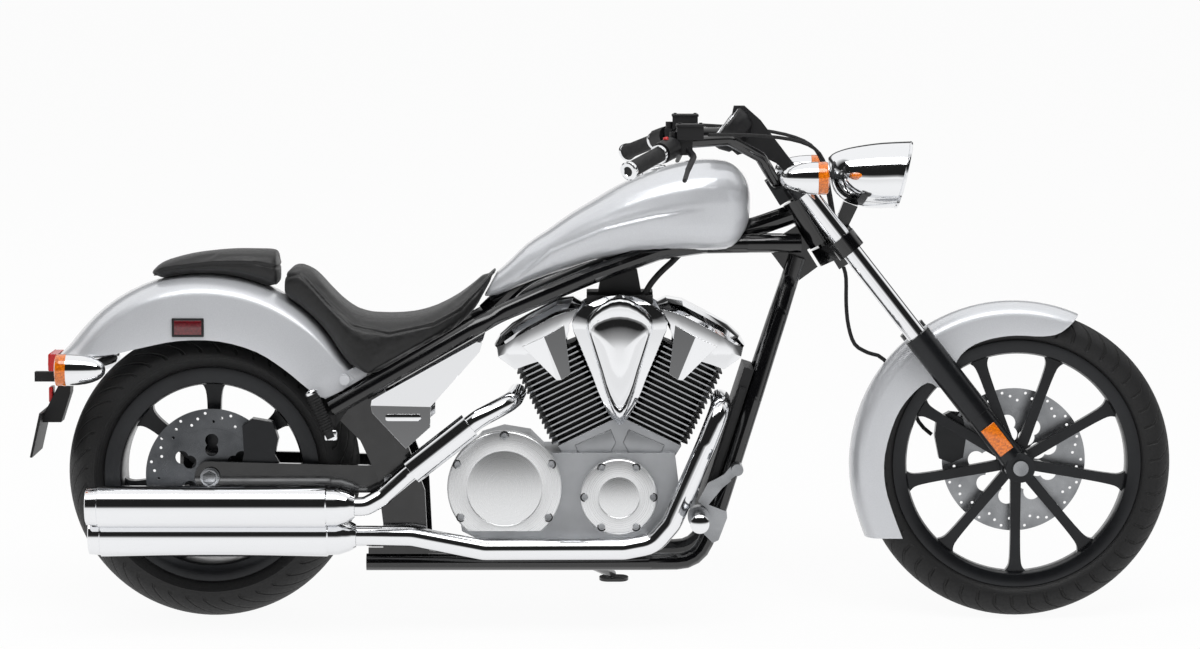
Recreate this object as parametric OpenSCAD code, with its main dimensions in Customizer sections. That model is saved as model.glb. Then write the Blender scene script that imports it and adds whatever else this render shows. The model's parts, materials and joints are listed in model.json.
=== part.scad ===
// Long-fork cruiser with a V-twin engine, parked on its side stand.
// Everything is drawn upright, with the origin on the ground below the rear axle, X towards the
// front wheel, Y to the rider's left and Z up. parked() then leans the whole machine on its stand.
// Lengths are in millimetres and angles in degrees.

/* [Stance] */
// Distance between the axles
wheelbase = 1805; // [1600:5:2200]
// Lean towards the side stand
lean = 8; // [5:0.2:10]
// Steering head angle from vertical
head_rake = 32; // [31:0.5:33]
// Extra angle of the fork legs in their clamps
fork_kick = 6; // [5:0.5:7]
// Trail of the front wheel
trail = 92; // [80:1:110]

/* [Rear wheel] */
// Radius of the rear tyre
rear_tyre_r = 328; // [318:1:336]
// Width of the rear tyre
rear_tyre_w = 200; // [160:1:240]
// Radius of the rear bead seat
rear_bead_r = 229; // [219:1:235]
// Half of the rear rim's inside width
rear_rim_half = 76; // [60:1:84]
// Radius of the rear tread's crown
rear_crown_r = 120; // [100:1:140]
// Number of rear spokes
rear_spokes = 7; // [5:1:9]
// Radius of the rear brake disc
rear_disc_r = 148; // [123:1:178]

/* [Front wheel] */
// Radius of the front tyre
front_tyre_r = 347; // [337:1:352]
// Half of the front tyre's width
front_tyre_half = 45.5; // [40:0.5:48]
// Radius of the front bead seat
front_bead_r = 267; // [255:1:272]
// Half of the front rim's inside width
front_rim_half = 28; // [24:1:31]
// Radius of the front tread's crown
front_crown_r = 48; // [44:1:52]
// Number of front spokes
front_spokes = 9; // [5:1:11]
// Radius of the front brake disc
front_disc_r = 162; // [135:1:195]
// Thickness of both brake discs
disc_t = 5; // [4:0.5:6]

/* [Fork and bars] */
// Distance from the middle to each fork leg
leg_y = 96; // [92:1:116]
// Radius of the fork tubes
fork_tube_r = 22.5; // [20:0.5:24]
// Radius of the fork sliders
slider_r = 31; // [28:0.5:31]
// Half of the handlebar's width
bar_half = 440; // [400:1:530]
// Radius of the handlebar tube
bar_r = 12.7; // [11:0.1:14]
// Steering stem radius
stem_r = 15; // [12:0.5:18]

/* [Frame] */
// Radius of the backbone tube
backbone_r = 22; // [18:1:24]
// Radius of the upper rails
rail_r = 20; // [17:1:22]
// Radius of the cradle tubes
cradle_r = 19; // [16:1:21]
// Thickness of the pivot plates
plate_t = 12; // [8:1:16]
// Wall of fenders
shell_t = 4; // [3:0.5:5]
// Gap between pieces that are bolted together
seat_gap = 0.3; // [0.2:0.05:0.4]

/* [Engine] */
// Angle of each cylinder from vertical
bank = 26; // [24:0.5:27]
// Half of the fins' length across the machine
fin_half = 88; // [74:1:94]
// Distance from fin to fin
fin_pitch = 12.5; // [12:0.5:15]
// Thickness of a fin
fin_t = 3.2; // [2.6:0.1:4]
// Radius of the round clutch cover
clutch_r = 127; // [106:1:130]
// Radius of the round crank cover
crank_cover_r = 86; // [72:1:88]

/* [Exhaust] */
// Radius of the mufflers
muffler_r = 46; // [38:0.5:46]
// Radius of the rear pipe
rear_pipe_r = 21; // [18:0.5:23]
// Radius of the front pipe
front_pipe_r = 23; // [19:0.5:24]

/* [Hidden] */
$fn = 48;

// Colours of the finishes
paint = "gainsboro";
black = "dimgray";
rubber = "darkslategray";
chrome = "lightsteelblue";
alloy = "silver";
steel = "slategray";
hide = "saddlebrown";
amber = "orange";

// Places that other pieces follow
axle_r = 12;
front_axle_r = 10;
axle_z = 328;                       // height of the rear axle on the standard tyre
chassis_lift = rear_tyre_r - axle_z;
home_wheelbase = 1805;
head_mid_z = 894 + chassis_lift;
head_home_x = 1338.4;
head_shift = wheelbase + trail - head_mid_z * tan(head_rake) - head_home_x;
head_mid_h = head_mid_z / cos(head_rake);
head_low_h = head_mid_h - 57.2;
head_top_h = head_mid_h + 57.8;
head_r = 34;
leg_angle = head_rake + fork_kick;
rear_half = rear_tyre_w / 2;
rail_y = rear_half + 43;            // rails beside the rear wheel
swing_y = rear_half + 22;           // middle of the swingarm legs
plate_y = rail_y - plate_t / 2;     // inner face of the pivot plates
stretch_from = 345;                 // the part ahead of this grows with the wheelbase
stretch_to = 1205;
engine_x = stretched(912);
engine_z = 285;
tube_sides = 12;
turn_steps = 4;

// Length X on the standard frame moved to its place on this one
function stretched(x) =
    x <= stretch_from ? x :
    x >= stretch_to ? x + head_shift :
    stretch_from + (x - stretch_from) * (1 + head_shift / (stretch_to - stretch_from));
function along(p) = [stretched(p[0]), p[1], p[2]];
function route(pts) = [for (p = pts) along(p)];
function flat_route(pts) = [for (p = pts) [stretched(p[0]), p[1]]];

function unit(v) = v / norm(v);
function lerp(a, b, k) = a + (b - a) * k;
function arc(c, r, from, to, n) =
    [for (k = [0 : n]) let(a = from + (to - from) * k / n) c + r * [cos(a), sin(a)]];
function flip(pts) = [for (k = [len(pts) - 1 : -1 : 0]) pts[k]];
function mirror_y(pts) = [for (p = pts) [p[0], -p[1]]];

// Smooth curve through rows of numbers, with n steps from row to row
function smooth(rows, n) = concat(
    [for (i = [0 : len(rows) - 2], j = [0 : n - 1])
        let(a = rows[max(0, i - 1)], b = rows[i], c = rows[i + 1],
            d = rows[min(len(rows) - 1, i + 2)], t = j / n)
        0.5 * (2 * b + (c - a) * t + (2 * a - 5 * b + 4 * c - d) * t * t
            + (3 * b - a - 3 * c + d) * t * t * t)],
    [rows[len(rows) - 1]]);

// Path with its corners rounded
function corner(a, b, c, r) =
    let(u = unit(a - b), v = unit(c - b), half = acos(max(-1, min(1, u * v))) / 2,
        reach = max(1, min(r / tan(half), 0.45 * norm(a - b), 0.45 * norm(c - b))),
        p = b + u * reach, q = b + v * reach)
    [for (k = [0 : turn_steps]) let(t = k / turn_steps)
        (1 - t) * (1 - t) * p + 2 * t * (1 - t) * b + t * t * q];
function rounded(pts, r) = concat(
    [pts[0]],
    [for (i = [1 : len(pts) - 2]) each corner(pts[i - 1], pts[i], pts[i + 1], r)],
    [pts[len(pts) - 1]]);

// Round sections along a path, each turned as little as possible from the one before
function heading(p, i) =
    let(n = len(p) - 1, zero = 0 * p[0])
    unit((i < n ? unit(p[i + 1] - p[i]) : zero) + (i > 0 ? unit(p[i] - p[i - 1]) : zero));
function square_to(v, t) = unit(v - (v * t) * t);
function section(c, t, up, r, sides) =
    let(b = cross(t, up))
    [for (k = [0 : sides - 1]) let(a = 360 * k / sides) c + r * (cos(a) * up + sin(a) * b)];
function sections(p, radii, up, sides) =
    [for (i = 0, v = square_to(up, heading(p, 0)); i < len(p);
        i = i + 1, v = i < len(p) ? square_to(v, heading(p, i)) : v)
        section(p[i], heading(p, i), v, is_list(radii) ? radii[i] : radii, sides)];

// Closed skin over rings of points. A bent sheet's rings run along its outside and back along its
// inside, so its two ends are closed by a strip of quads instead of one polygon.
module skin(rings, sheet = false) {
    n = len(rings[0]);
    last = (len(rings) - 1) * n;
    function end_cap(at, turned) = sheet ?
        [for (k = [0 : n / 2 - 2]) let(q = [k, k + 1, n - 2 - k, n - 1 - k])
            each [for (t = [[0, 1, 2], [0, 2, 3]])
                [for (i = [0 : 2]) at + q[t[turned ? 2 - i : i]]]]] :
        [[for (k = [0 : n - 1]) at + (turned ? n - 1 - k : k)]];
    polyhedron(
        [for (q = rings) each q],
        concat(
            end_cap(0, false),
            [for (i = [0 : len(rings) - 2], k = [0 : n - 1])
                let(a = i * n + k, b = i * n + (k + 1) % n)
                each [[a, a + n, b + n], [a, b + n, b]]],
            end_cap(last, true)),
        convexity = 10);
}
module tube(path, r, sides = tube_sides, up = [0, 0, 1]) skin(sections(path, r, up, sides));

// Frames of reference
module both_sides() {
    children();
    mirror([0, 1, 0]) children();
}
module chassis() translate([0, 0, chassis_lift]) children();
module front() translate([head_shift, 0, chassis_lift]) children();
// Wheel frame: Z of the child points to the right side
module on_axle(x, z) translate([x, 0, z]) rotate([90, 0, 0]) children();
module rear_wheel() on_axle(0, rear_tyre_r) children();
module front_wheel() on_axle(wheelbase, front_tyre_r) children();
module disc_at(x, z, r, y_from, y_to)
    translate([x, y_from, z]) rotate([-90, 0, 0]) cylinder(r = r, h = y_to - y_from);
// Plate drawn in side view, X and Z, from one Y to another
module side_plate(pts, y_from, y_to)
    translate([0, y_to, 0]) rotate([90, 0, 0]) linear_extrude(y_to - y_from) polygon(pts);
module box(from, to) translate(from) cube(to - from);
// Z of the child runs up the steering axis from the ground, X points ahead of it
module steering_axis() translate([wheelbase + trail, 0, 0]) rotate([0, -head_rake, 0]) children();
// Z of the child runs up a fork leg from the axle
module leg(side) translate([wheelbase, side * leg_y, front_tyre_r]) rotate([0, -leg_angle, 0]) children();
// Z of the child runs up a cylinder from the crank, X points ahead
module cylinder_axis(way) translate([engine_x, 0, engine_z]) rotate([0, way * bank, 0]) children();

axle_ahead = -trail * cos(head_rake) + front_tyre_r * sin(head_rake);
axle_h = trail * sin(head_rake) + front_tyre_r * cos(head_rake);
function leg_ahead(h) = axle_ahead - (h - axle_h) * tan(fork_kick);

// The lean: each tyre stays on the ground, and the nose drops a little because the rear crown is wider
nose_dip = asin((rear_crown_r - front_crown_r) * (1 - cos(lean)) / wheelbase);
park_lift = rear_crown_r * (1 - cos(lean));
park_x = -0.4845 * home_wheelbase - head_shift / 2;
park_y = -140;
module parked()
    translate([park_x, park_y, park_lift]) rotate([-lean, nose_dip, 0]) children();

// ---- Wheels ----

// Half outline of a tyre as [radius, half width], from the crown to the bead, then mirrored
module tyre(tyre_r, crown_r, crown_angle, side, bead_r, rim_half) {
    half = concat(
        arc([tyre_r - crown_r, 0], crown_r, 0, crown_angle, 8),
        side,
        [[bead_r + 12.5, rim_half], [bead_r, rim_half]]);
    rotate_extrude($fn = 96) polygon(concat(half, flip(mirror_y([for (k = [1 : len(half) - 1]) half[k]]))));
}
module rear_tyre() color(rubber) rear_wheel()
    tyre(rear_tyre_r, rear_crown_r, asin(0.92 * rear_half / rear_crown_r),
        [[rear_bead_r + 33, rear_half], [rear_bead_r + 18, rear_half - 7],
         [rear_bead_r + 13, rear_rim_half + 8]], rear_bead_r, rear_rim_half);
module front_tyre() color(rubber) front_wheel()
    tyre(front_tyre_r, front_crown_r, asin(0.96 * front_tyre_half / front_crown_r),
        [[front_bead_r + 33, front_tyre_half], [front_bead_r + 18, front_tyre_half - 5.5],
         [front_bead_r + 13.5, front_rim_half + 6]], front_bead_r, front_rim_half);

// Rim with hub and one-piece spokes that flare where they meet the rim and the hub
module rim(bead_r, rim_half, barrel_r, hub_r, hub_half, bore_r, spokes, start, spoke_half, face) {
    half = [[bead_r - 0.5, rim_half + 0.4], [bead_r + 12, rim_half + 0.4],
        [bead_r + 12, rim_half + 6], [bead_r - 2, rim_half + 7], [barrel_r + 4, rim_half + 2],
        [barrel_r, rim_half - 8]];
    out = barrel_r + 4;
    edge = smooth([[hub_r - 5, 1], [hub_r + 12, 1.08], [hub_r + (out - hub_r) / 2, 1],
        [out - 34, 1.12], [out - 12, 1.6], [out, 2.7]], 3);
    rotate_extrude($fn = 96) polygon(concat(half, flip(mirror_y(half))));
    difference() {
        union() {
            cylinder(r = hub_r, h = 2 * hub_half, center = true);
            for (k = [0 : spokes - 1]) rotate(start + 360 * k / spokes)
                translate([0, 0, -face]) linear_extrude(2 * face) polygon(concat(
                    [for (p = edge) [p[0], p[1] * spoke_half]],
                    flip([for (p = edge) [p[0], -p[1] * spoke_half]])));
        }
        cylinder(r = bore_r, h = 3 * hub_half, center = true);
    }
}
rear_hub_half = rear_half - 20;
front_hub_half = 50;
module rear_rim() color(black) rear_wheel()
    rim(rear_bead_r, rear_rim_half, rear_bead_r - 27, 48, rear_hub_half, axle_r + 0.4,
        rear_spokes, 90, 15, 16);
module front_rim() color(black) front_wheel()
    rim(front_bead_r, front_rim_half, front_bead_r - 20, 38, front_hub_half, front_axle_r + 0.4,
        front_spokes, -90, 11, 11);

// Drilled ring on a carrier
module disc(ring_r, band, carrier_r, bore_r, arms, holes) {
    difference() {
        union() {
            cylinder(r = ring_r, h = disc_t);
            cylinder(r = carrier_r, h = disc_t + 1);
        }
        translate([0, 0, -1]) cylinder(r = bore_r, h = disc_t + 8);
        for (k = [0 : arms - 1]) rotate(360 * (k + 0.5) / arms) for (s = [0.36, 0.64])
            translate([(carrier_r - bore_r) * s + bore_r, 0, -1])
                cylinder(r = (carrier_r - bore_r) * 0.2, h = disc_t + 8);
        for (k = [0 : holes - 1]) rotate(360 * k / holes)
            translate([ring_r - band * (0.25 + 0.25 * (k % 3)), 0, -1]) cylinder(r = 3.2, h = disc_t + 2, $fn = 24);
    }
}
module rear_disc() color(steel) rear_wheel() translate([0, 0, rear_hub_half + seat_gap])
    disc(rear_disc_r, 38, rear_disc_r - 44, 30, 6, 45);
module front_disc() color(steel) front_wheel() rotate([180, 0, 0])
    translate([0, 0, front_hub_half + seat_gap]) disc(front_disc_r, 36, front_disc_r - 44, 24, 9, 54);

// ---- Frame ----

head_low_z = head_low_h * cos(head_rake);
rail_gap = 6.3;                      // half of the gusset plate and its gap
// Steering head: bored tube with a gusset plate between the frame tubes, drawn as [ahead, height]
module steering_head() color(black) {
    low = head_low_h;
    difference() {
        union() {
            steering_axis() translate([0, 0, low]) cylinder(r = head_r, h = head_top_h - low);
            steering_axis() side_plate([[-20, low + 62], [-20, low + 3], [-40, low + 3],
                [-40, low - 42], [-105, low - 47], [-112, low + 40], [-70, low + 62]], -6, 6);
        }
        steering_axis() translate([0, 0, low - 60]) cylinder(r = stem_r + 0.5, h = 240);
    }
}

backbone_line = [[612, 0, 685], [700, 0, 768], [900, 0, 846], [1204, 0, 874], [1330, 0, 917]];
module backbone() color(black) chassis() {
    difference() {
        tube(rounded(route(backbone_line), 200), backbone_r);
        translate([0, 0, -chassis_lift]) steering_axis()
            translate([0, 0, head_low_h - 50]) cylinder(r = head_r + seat_gap, h = 300);
    }
    box([stretched(975), -backbone_r - 5.6, 862], [stretched(1000), backbone_r + 5.6, 881]);
}

rail_line = [[345, rail_y, 522], [600, rail_y - 2, 668], [640, 112, 690], [850, 90, 776],
    [1000, 72, 828], [1100, 58, 842], [1200, 34, 842], [1318, rail_gap + rail_r, 842]];
module upper_rails() color(black) chassis() both_sides()
    tube(rounded(route(rail_line), 90), rail_r);

cradle_y = 125;
cradle_z = 137;
front_tube_slope = 0.32;
function front_tube_x(z) = 1131 + front_tube_slope * (z - 250);
cradle_line = [[347, cradle_y, cradle_z], [980, cradle_y - 3, cradle_z],
    [front_tube_x(110), 114, cradle_z], [front_tube_x(250), 108, 250],
    [front_tube_x(500), 90, 500], [front_tube_x(690), 52, 690],
    [front_tube_x(755), rail_gap + cradle_r + 1, 755], [front_tube_x(812), rail_gap + cradle_r, 812]];
module cradle_tube() chassis() tube(rounded(route(cradle_line), 90), cradle_r);
module cradle_left() color(black) {
    cradle_tube();
    chassis() stand_lug();
}
module cradle_right() color(black) mirror([0, 1, 0]) cradle_tube();

// Pivot plates with a thicker tab under each rail, a foot on each lower rail and two cross tubes
foot_z = cradle_z + cradle_r + seat_gap;
module pivot_plates() color(black) chassis() {
    both_sides() {
        side_plate([[290, 455], [283, 478], [300, 497], [344.3, 521.8], [355, 503.7], [390, 523.7],
            [420, 455], [445, 388], [478, 300], [485, foot_z], [385, foot_z], [385, 225],
            [372, 330], [335, 410]], plate_in, plate_in + plate_t);
        side_plate([[290, 470], [300, 497], [344.3, 521.8], [355, 503.7], [390, 523.7], [402, 496],
            [350, 468]], plate_in, rail_y + 6);
        box([352, cradle_y - 13, foot_z], [485, plate_in + plate_t, foot_z + 14]);
    }
    disc_at(332, 496, 14, -plate_in - 1, plate_in + 1);
    disc_at(430, 185, 16, -plate_in - 1, plate_in + 1);
}

// Swingarm: two legs and a pivot tube, with the left leg ending at the drive housing
pivot_x = 400;
pivot_z = 322;
swing_half = 9;
swing_in = rear_half + 6;
plate_in = swing_in + 2 * swing_half + seat_gap;
drive_r = 92;
swing_shape = concat(
    arc([0, axle_z], 36, 110, 262, 8), arc([pivot_x, pivot_z], 30, -88, 88, 8));
module swingarm() color(black) chassis() {
    difference() {
        side_plate(swing_shape, -swing_in - 2 * swing_half, -swing_in);
        disc_at(0, axle_z, axle_r + 0.3, -300, 300);
    }
    difference() {
        side_plate(swing_shape, swing_in, swing_in + 2 * swing_half);
        disc_at(0, axle_z, drive_r + seat_gap, -300, 300);
    }
    disc_at(pivot_x, pivot_z, 24, -swing_in - swing_half, swing_in + swing_half);
}
module final_drive() color(black) chassis() difference() {
    translate([0, rear_hub_half + 5.5, axle_z]) rotate([-90, 0, 0]) rotate_extrude() polygon([
        [axle_r + 0.3, 0], [drive_r - 12, 0], [drive_r, 12], [drive_r, 40], [drive_r - 14, 58],
        [46, 64], [40, 70], [axle_r + 0.3, 70]]);
    box([-200, -300, axle_z - 200], [-drive_r + 4, 300, axle_z + 200]);
}
module rear_axle() color(steel) chassis() {
    end = swing_in + 2 * swing_half;
    disc_at(0, axle_z, axle_r, -end - 14, rear_hub_half + 90);
    disc_at(0, axle_z, 21, -end - 14, -end - seat_gap);
    disc_at(0, axle_z, 21, -swing_in + seat_gap, -rear_hub_half - disc_t - 4);
    disc_at(0, axle_z, 21, rear_hub_half + 76, rear_hub_half + 90);
}
module rear_caliper() color(black) chassis() {
    outer = -swing_in + seat_gap;
    difference() {
        union() {
            side_plate([[74, 366], [70, 440], [92, 456], [138, 448], [150, 410], [140, 366]],
                outer, -rear_half + 36);
            side_plate([[64, 335], [74, 380], [140, 380], [165, 335]], outer, outer + 9);
        }
        disc_at(0, axle_z, rear_disc_r + 6, -rear_hub_half - disc_t - 4, -rear_hub_half + 3.5);
    }
}

// ---- Engine, drawn from the crank ----

module engine() chassis() translate([engine_x, 0, 0]) children();
// Point on a cylinder: outward from its axis and up it, way 1 for the front one
function on_bank(way, out, up) = [
    way * (out * cos(bank) + up * sin(bank)),
    engine_z - out * sin(bank) + up * cos(bank)];
deck_h = 158;
fin_from = 165;
fin_to = 350;
bore_r = 76;
case_half = 118;
lug_x = [-272, 48];
module crankcase() color(alloy) engine() {
    side_plate([[-367, 300], [-352, 205], [-312, 185], [68, 185], [108, 215], [133, 300],
        [123, 380], [-172, 380], [-202, 410], [-262, 420], [-312, 405], [-352, 360]],
        -case_half, case_half);
    side_plate([[123, 370], on_bank(1, bore_r, deck_h), on_bank(1, -bore_r, deck_h),
        on_bank(-1, -bore_r, deck_h), on_bank(-1, bore_r, deck_h), [-123, 370]],
        -case_half + 22, case_half - 22);
    both_sides() for (x = lug_x)
        box([x - 20, 95, foot_z], [x + 20, 128, 187]);
}
// Round cover with a stepped ring and a dished middle
module dished_cover(r, inner, h) rotate_extrude($fn = 96) polygon([
    [0, 0], [r, 0], [r, 0.42 * h], [r - 3, 0.56 * h], [r - 12, 0.64 * h], [inner + 12, 0.68 * h],
    [inner + 5, 0.94 * h], [inner + 1, h], [inner - 3, 0.98 * h], [inner - 7, 0.8 * h], [0, 0.74 * h]]);
module right_side(x, z) translate([x, -case_half - seat_gap, z]) rotate([90, 0, 0]) children();
module left_side(x, z) translate([x, case_half + seat_gap, z]) rotate([-90, 0, 0]) children();
module right_engine_covers() color(alloy) engine() {
    difference() {
        right_side(-255, 295) dished_cover(clutch_r, 84, 47);
        box([-400, -200, 100], [0, 0, 208]);
    }
    right_side(-2, 285) dished_cover(crank_cover_r, 46, 42);
}
module left_engine_covers() color(alloy) engine() {
    left_side(0, 285) dished_cover(96, 56, 42);
    left_side(-222, 300) dished_cover(92, 52, 34);
}
fin_corner = 16;
function fin_shape(a, b, h) = [
    [a + fin_corner, -h], [b - fin_corner, -h], [b, -h + fin_corner], [b, h - fin_corner],
    [b - fin_corner, h], [a + fin_corner, h], [a, h - fin_corner], [a, -h + fin_corner]];
module both_banks() {
    children();
    mirror([1, 0, 0]) children();
}
module cylinders() color(black) engine() both_banks()
    translate([0, 0, engine_z]) rotate([0, bank, 0]) {
        translate([0, 0, deck_h + seat_gap]) linear_extrude(fin_to - deck_h - seat_gap)
            polygon(fin_shape(-62, 70, fin_half - 18));
        for (z = [fin_from : fin_pitch : fin_to - fin_t])
            translate([0, 0, z]) linear_extrude(fin_t) polygon(fin_shape(-74, fin_half, fin_half));
    }
cover_from = fin_to + 2 * seat_gap;
cover_half = 91;
module rocker_covers() color(chrome) engine() both_banks() {
    side_plate([for (p = [[-85, cover_from], [-98, 395], [-104, 424], [30, 431], [95, 428],
        [112, 418], [95, cover_from]]) on_bank(1, p[0], p[1])], -cover_half, cover_half);
    both_sides() side_plate([for (p = [[-52, 352], [-46, 400], [40, 405], [44, 352], [18, 291],
        [-12, 291]]) on_bank(1, p[0], p[1])], cover_half - 1.5, cover_half + 8);
}
module intake_box() color(black) engine() {
    low = on_bank(1, -74.6, 200);
    high = on_bank(1, -74.6, 345);
    half = [low, high, [72, 640], [74, 735], [48, 735.2], [36, 800]];
    side_plate(concat(half, flip([for (p = half) [-p[0], p[1]]])), -45, 45);
    both_sides() side_plate(concat([low, high, [72, 640], [74, 730]],
        flip([for (p = [low, high, [72, 640], [74, 730]]) [-p[0], p[1]]])), 40, 91);
}
// Teardrop covers: crowned shells on both sides of the intake box
teardrop = let(half = smooth([[0, 735], [54, 722], [100, 690], [107, 660], [82, 600], [52, 520],
    [27, 470], [0, 442]], 4)) concat(half, [for (k = [len(half) - 2 : -1 : 1]) [-half[k][0], half[k][1]]]);
function teardrop_ring(y, k) = [for (p = teardrop) [-p[0] * k, y, 615 + (p[1] - 615) * k]];
module intake_covers() color(chrome) engine() both_sides() {
    skin([teardrop_ring(-101.5, 0.97), teardrop_ring(-104, 1), teardrop_ring(-112, 0.985),
        teardrop_ring(-121, 0.93), teardrop_ring(-128, 0.82), teardrop_ring(-133, 0.62),
        teardrop_ring(-135, 0.3)]);
    box([-40, -103, 560], [40, -cover_half - seat_gap, 690]);
}

// ---- Exhaust, on the right ----

muffler_from = -240;
muffler_to = 262;
muffler_nose = muffler_to + 64;
low_muffler = [-158, 200];
high_muffler = low_muffler + (2 * muffler_r + 0.8) * unit([-58, 73]);
function port(way, pipe_r, up) = 
    let(p = on_bank(way, fin_half + pipe_r + seat_gap, up)) [engine_x + p[0], p[1]];
rear_exit = port(-1, rear_pipe_r, 300);
front_exit = port(1, front_pipe_r, 285);
shield_from = along([600, -190, 465]);
shield_to = along([440, -197, 340]);
rear_pipe_line = concat(
    [[rear_exit[0], -30, rear_exit[1]], [rear_exit[0] - 8, -150, rear_exit[1] - 6]],
    [shield_from, shield_to],
    [[385, -208, 292], [350, high_muffler[0], high_muffler[1]],
     [muffler_nose + seat_gap, high_muffler[0], high_muffler[1]]]);
front_pipe_line = concat(
    [[front_exit[0], -30, front_exit[1]], [front_exit[0], -152, front_exit[1] - 5]],
    [for (p = [[192, -165, 405], [146, -165, 300], [114, -165, 228], [74, -165, 182], [10, -165, 170]])
        [engine_x + p[0], p[1], p[2]]],
    route([[610, -165, 169], [450, -167, 200]]),
    [[360, low_muffler[0], low_muffler[1]], [muffler_nose + seat_gap, low_muffler[0], low_muffler[1]]]);
module exhaust_pipes() color(chrome) chassis() {
    tube(rounded(rear_pipe_line, 60), rear_pipe_r, 16);
    tube(rounded(front_pipe_line, 60), front_pipe_r, 16);
    heat_shield();
}
// Half sleeve outside the rear pipe
module heat_shield() {
    from = lerp(shield_from, shield_to, 0.12);
    to = lerp(shield_from, shield_to, 0.94);
    d = unit(to - from);
    up = square_to([0, 0, 1], d);
    side = cross(d, up);
    out = rear_pipe_r + 9;
    in = rear_pipe_r + 1.3;
    function half_ring(c) = concat(
        [for (a = [-200 : 20 : 20]) c + out * (cos(a) * up + sin(a) * side)],
        [for (a = [20 : -20 : -200]) c + in * (cos(a) * up + sin(a) * side)]);
    skin([half_ring(from), half_ring(to)], sheet = true);
}
module muffler(place) translate([0, place[0], place[1]]) rotate([0, 90, 0]) rotate_extrude($fn = 96)
    polygon([[muffler_r - 14, muffler_from - 20], [muffler_r - 10, muffler_from - 28],
        [muffler_r - 5, muffler_from - 26], [muffler_r - 3, muffler_from - 2],
        [muffler_r, muffler_from], [muffler_r, muffler_to], [muffler_r - 3, muffler_to + 3],
        [muffler_r - 4, muffler_to + 26], [muffler_r - 12, muffler_to + 50],
        [front_pipe_r + 3, muffler_nose], [0, muffler_nose], [0, muffler_from + 60],
        [muffler_r - 16, muffler_from + 60]]);
module mufflers() color(chrome) chassis() {
    muffler(low_muffler);
    muffler(high_muffler);
}

// ---- Radiator, controls and covers ----

radiator_back = 42;
module radiator() color(black) chassis()
    translate(along([front_tube_x(230), 0, 230])) rotate([0, atan(front_tube_slope), 0]) {
        behind = cradle_r + seat_gap;
        box([-radiator_back, -100, 0], [-behind, 100, 345]);
        box([-radiator_back + 4, -112, 40], [-behind - 5, -100, 300]);
        box([-radiator_back + 4, 100, 40], [-behind - 5, 112, 300]);
    }

foot_x = 1087;
foot_z_at = 243;
module foot_control(way) mirror([0, way > 0 ? 1 : 0, 0]) translate([stretched(1131) - 1131, 0, 0]) {
    difference() {
        side_plate([[foot_x, 266], [foot_x + 22, 268], [1150, 252], [1151, 238], [1132, 188],
            [1119, 182], [1098, 203], [foot_x, 218]], -144, -112);
        translate([1131 - stretched(1131), 0, 0]) mirror([0, 1, 0])
            tube(rounded(route(cradle_line), 90), cradle_r + seat_gap);
        box([1000, -129, 100], [1112, -100, 300]);
    }
    disc_at(foot_x, foot_z_at, 24, -172, -134);
    disc_at(foot_x, foot_z_at, 16, -282, -171);
    disc_at(foot_x, foot_z_at, 20, -290, -281);
    side_plate([[1086, 275], [1104, 262], [1140, 306], [1160, 322], [1150, 340], [1108, 316]],
        -152, -143);
    side_plate([[1152, 320], [1178, 340], [1162, 358], [1140, 332]], -152, -143);
    disc_at(1172, 352, 13, -205, -143);
}
module foot_controls() color(alloy) chassis() {
    foot_control(-1);
    foot_control(1);
}

module passenger_pegs() color(rubber) chassis() both_sides() {
    outer = rail_y + 6 + seat_gap;
    side_plate([[318, 493], [300, 500], [282, 492], [262, 470], [262, 440], [280, 440], [300, 470]],
        outer, outer + 7);
    tube([[272, outer + 19, 420], [228, outer + 19, 520]], 13);
    box([262, outer + 6, 446], [280, outer + 16, 470]);
}
module side_covers() color(alloy) chassis() both_sides() {
    side_plate(flat_route([[408, 513], [596, 626], [604, 618], [588, 500], [505, 468], [490, 440],
        [440, 388], [412, 430]]), plate_in + plate_t + seat_gap, plate_in + plate_t + 7);
    box([along([560, 0, 0])[0], plate_in + plate_t + 2, 560],
        [along([575, 0, 0])[0], rail_y - 4, 590]);
}

// ---- Tank and seats: closed skins over rows of sections ----

// One section across: half width w, from low to high, widest at mid, squarer at the bottom
loft_points = 24;
function power(v, e) = sign(v) * pow(abs(v), e);
function cross_ring(x, low, high, w, mid, top_e, low_e) =
    [for (k = [0 : loft_points - 1])
        let(a = 360 * (k + 0.5) / loft_points, up = sin(a) > 0)
        [x, w * power(cos(a), up ? top_e : low_e),
            mid + (up ? high - mid : mid - low) * power(sin(a), up ? top_e : low_e)]];

// Rows of the tank: place, bottom, top, half width, height of the widest line, how far it leans ahead
tank_rows = [[606, 722, 779, 50, 748, 0.55], [640, 727, 806, 64, 768, 0.35],
    [690, 748, 841, 77, 792, 0.15], [750, 771, 872, 90, 815, 0], [800, 787, 908, 103, 842, 0],
    [850, 804, 938, 116, 866, 0], [900, 815, 968, 127, 884, 0], [950, 822, 992, 136, 900, 0],
    [1000, 826, 1011, 141, 911, 0], [1050, 828, 1024, 142, 918, 0], [1100, 826, 1031, 138, 921, 0],
    [1150, 828, 1027, 120, 922, 0], [1175, 842, 1013, 102, 924, 0], [1191, 866, 995, 82, 928, 0],
    [1201, 893, 972, 56, 932, 0], [1204.5, 918, 952, 28, 936, 0]];
function leaned(ring, low, k) = [for (p = ring) [p[0] + k * (p[2] - low), p[1], p[2]]];
module fuel_tank() color(paint) chassis() difference() {
    skin([for (r = smooth(tank_rows, 2))
        leaned(cross_ring(stretched(r[0]), r[1], r[2], r[3], r[4], 0.8, 0.55), r[1], r[5])]);
    side_plate(flat_route([[560, 668], [620, 734], [700, 803], [900, 875], [1230, 903], [1230, 760]]),
        -backbone_r - 6, backbone_r + 6);
    tank_tunnel();
}
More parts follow.
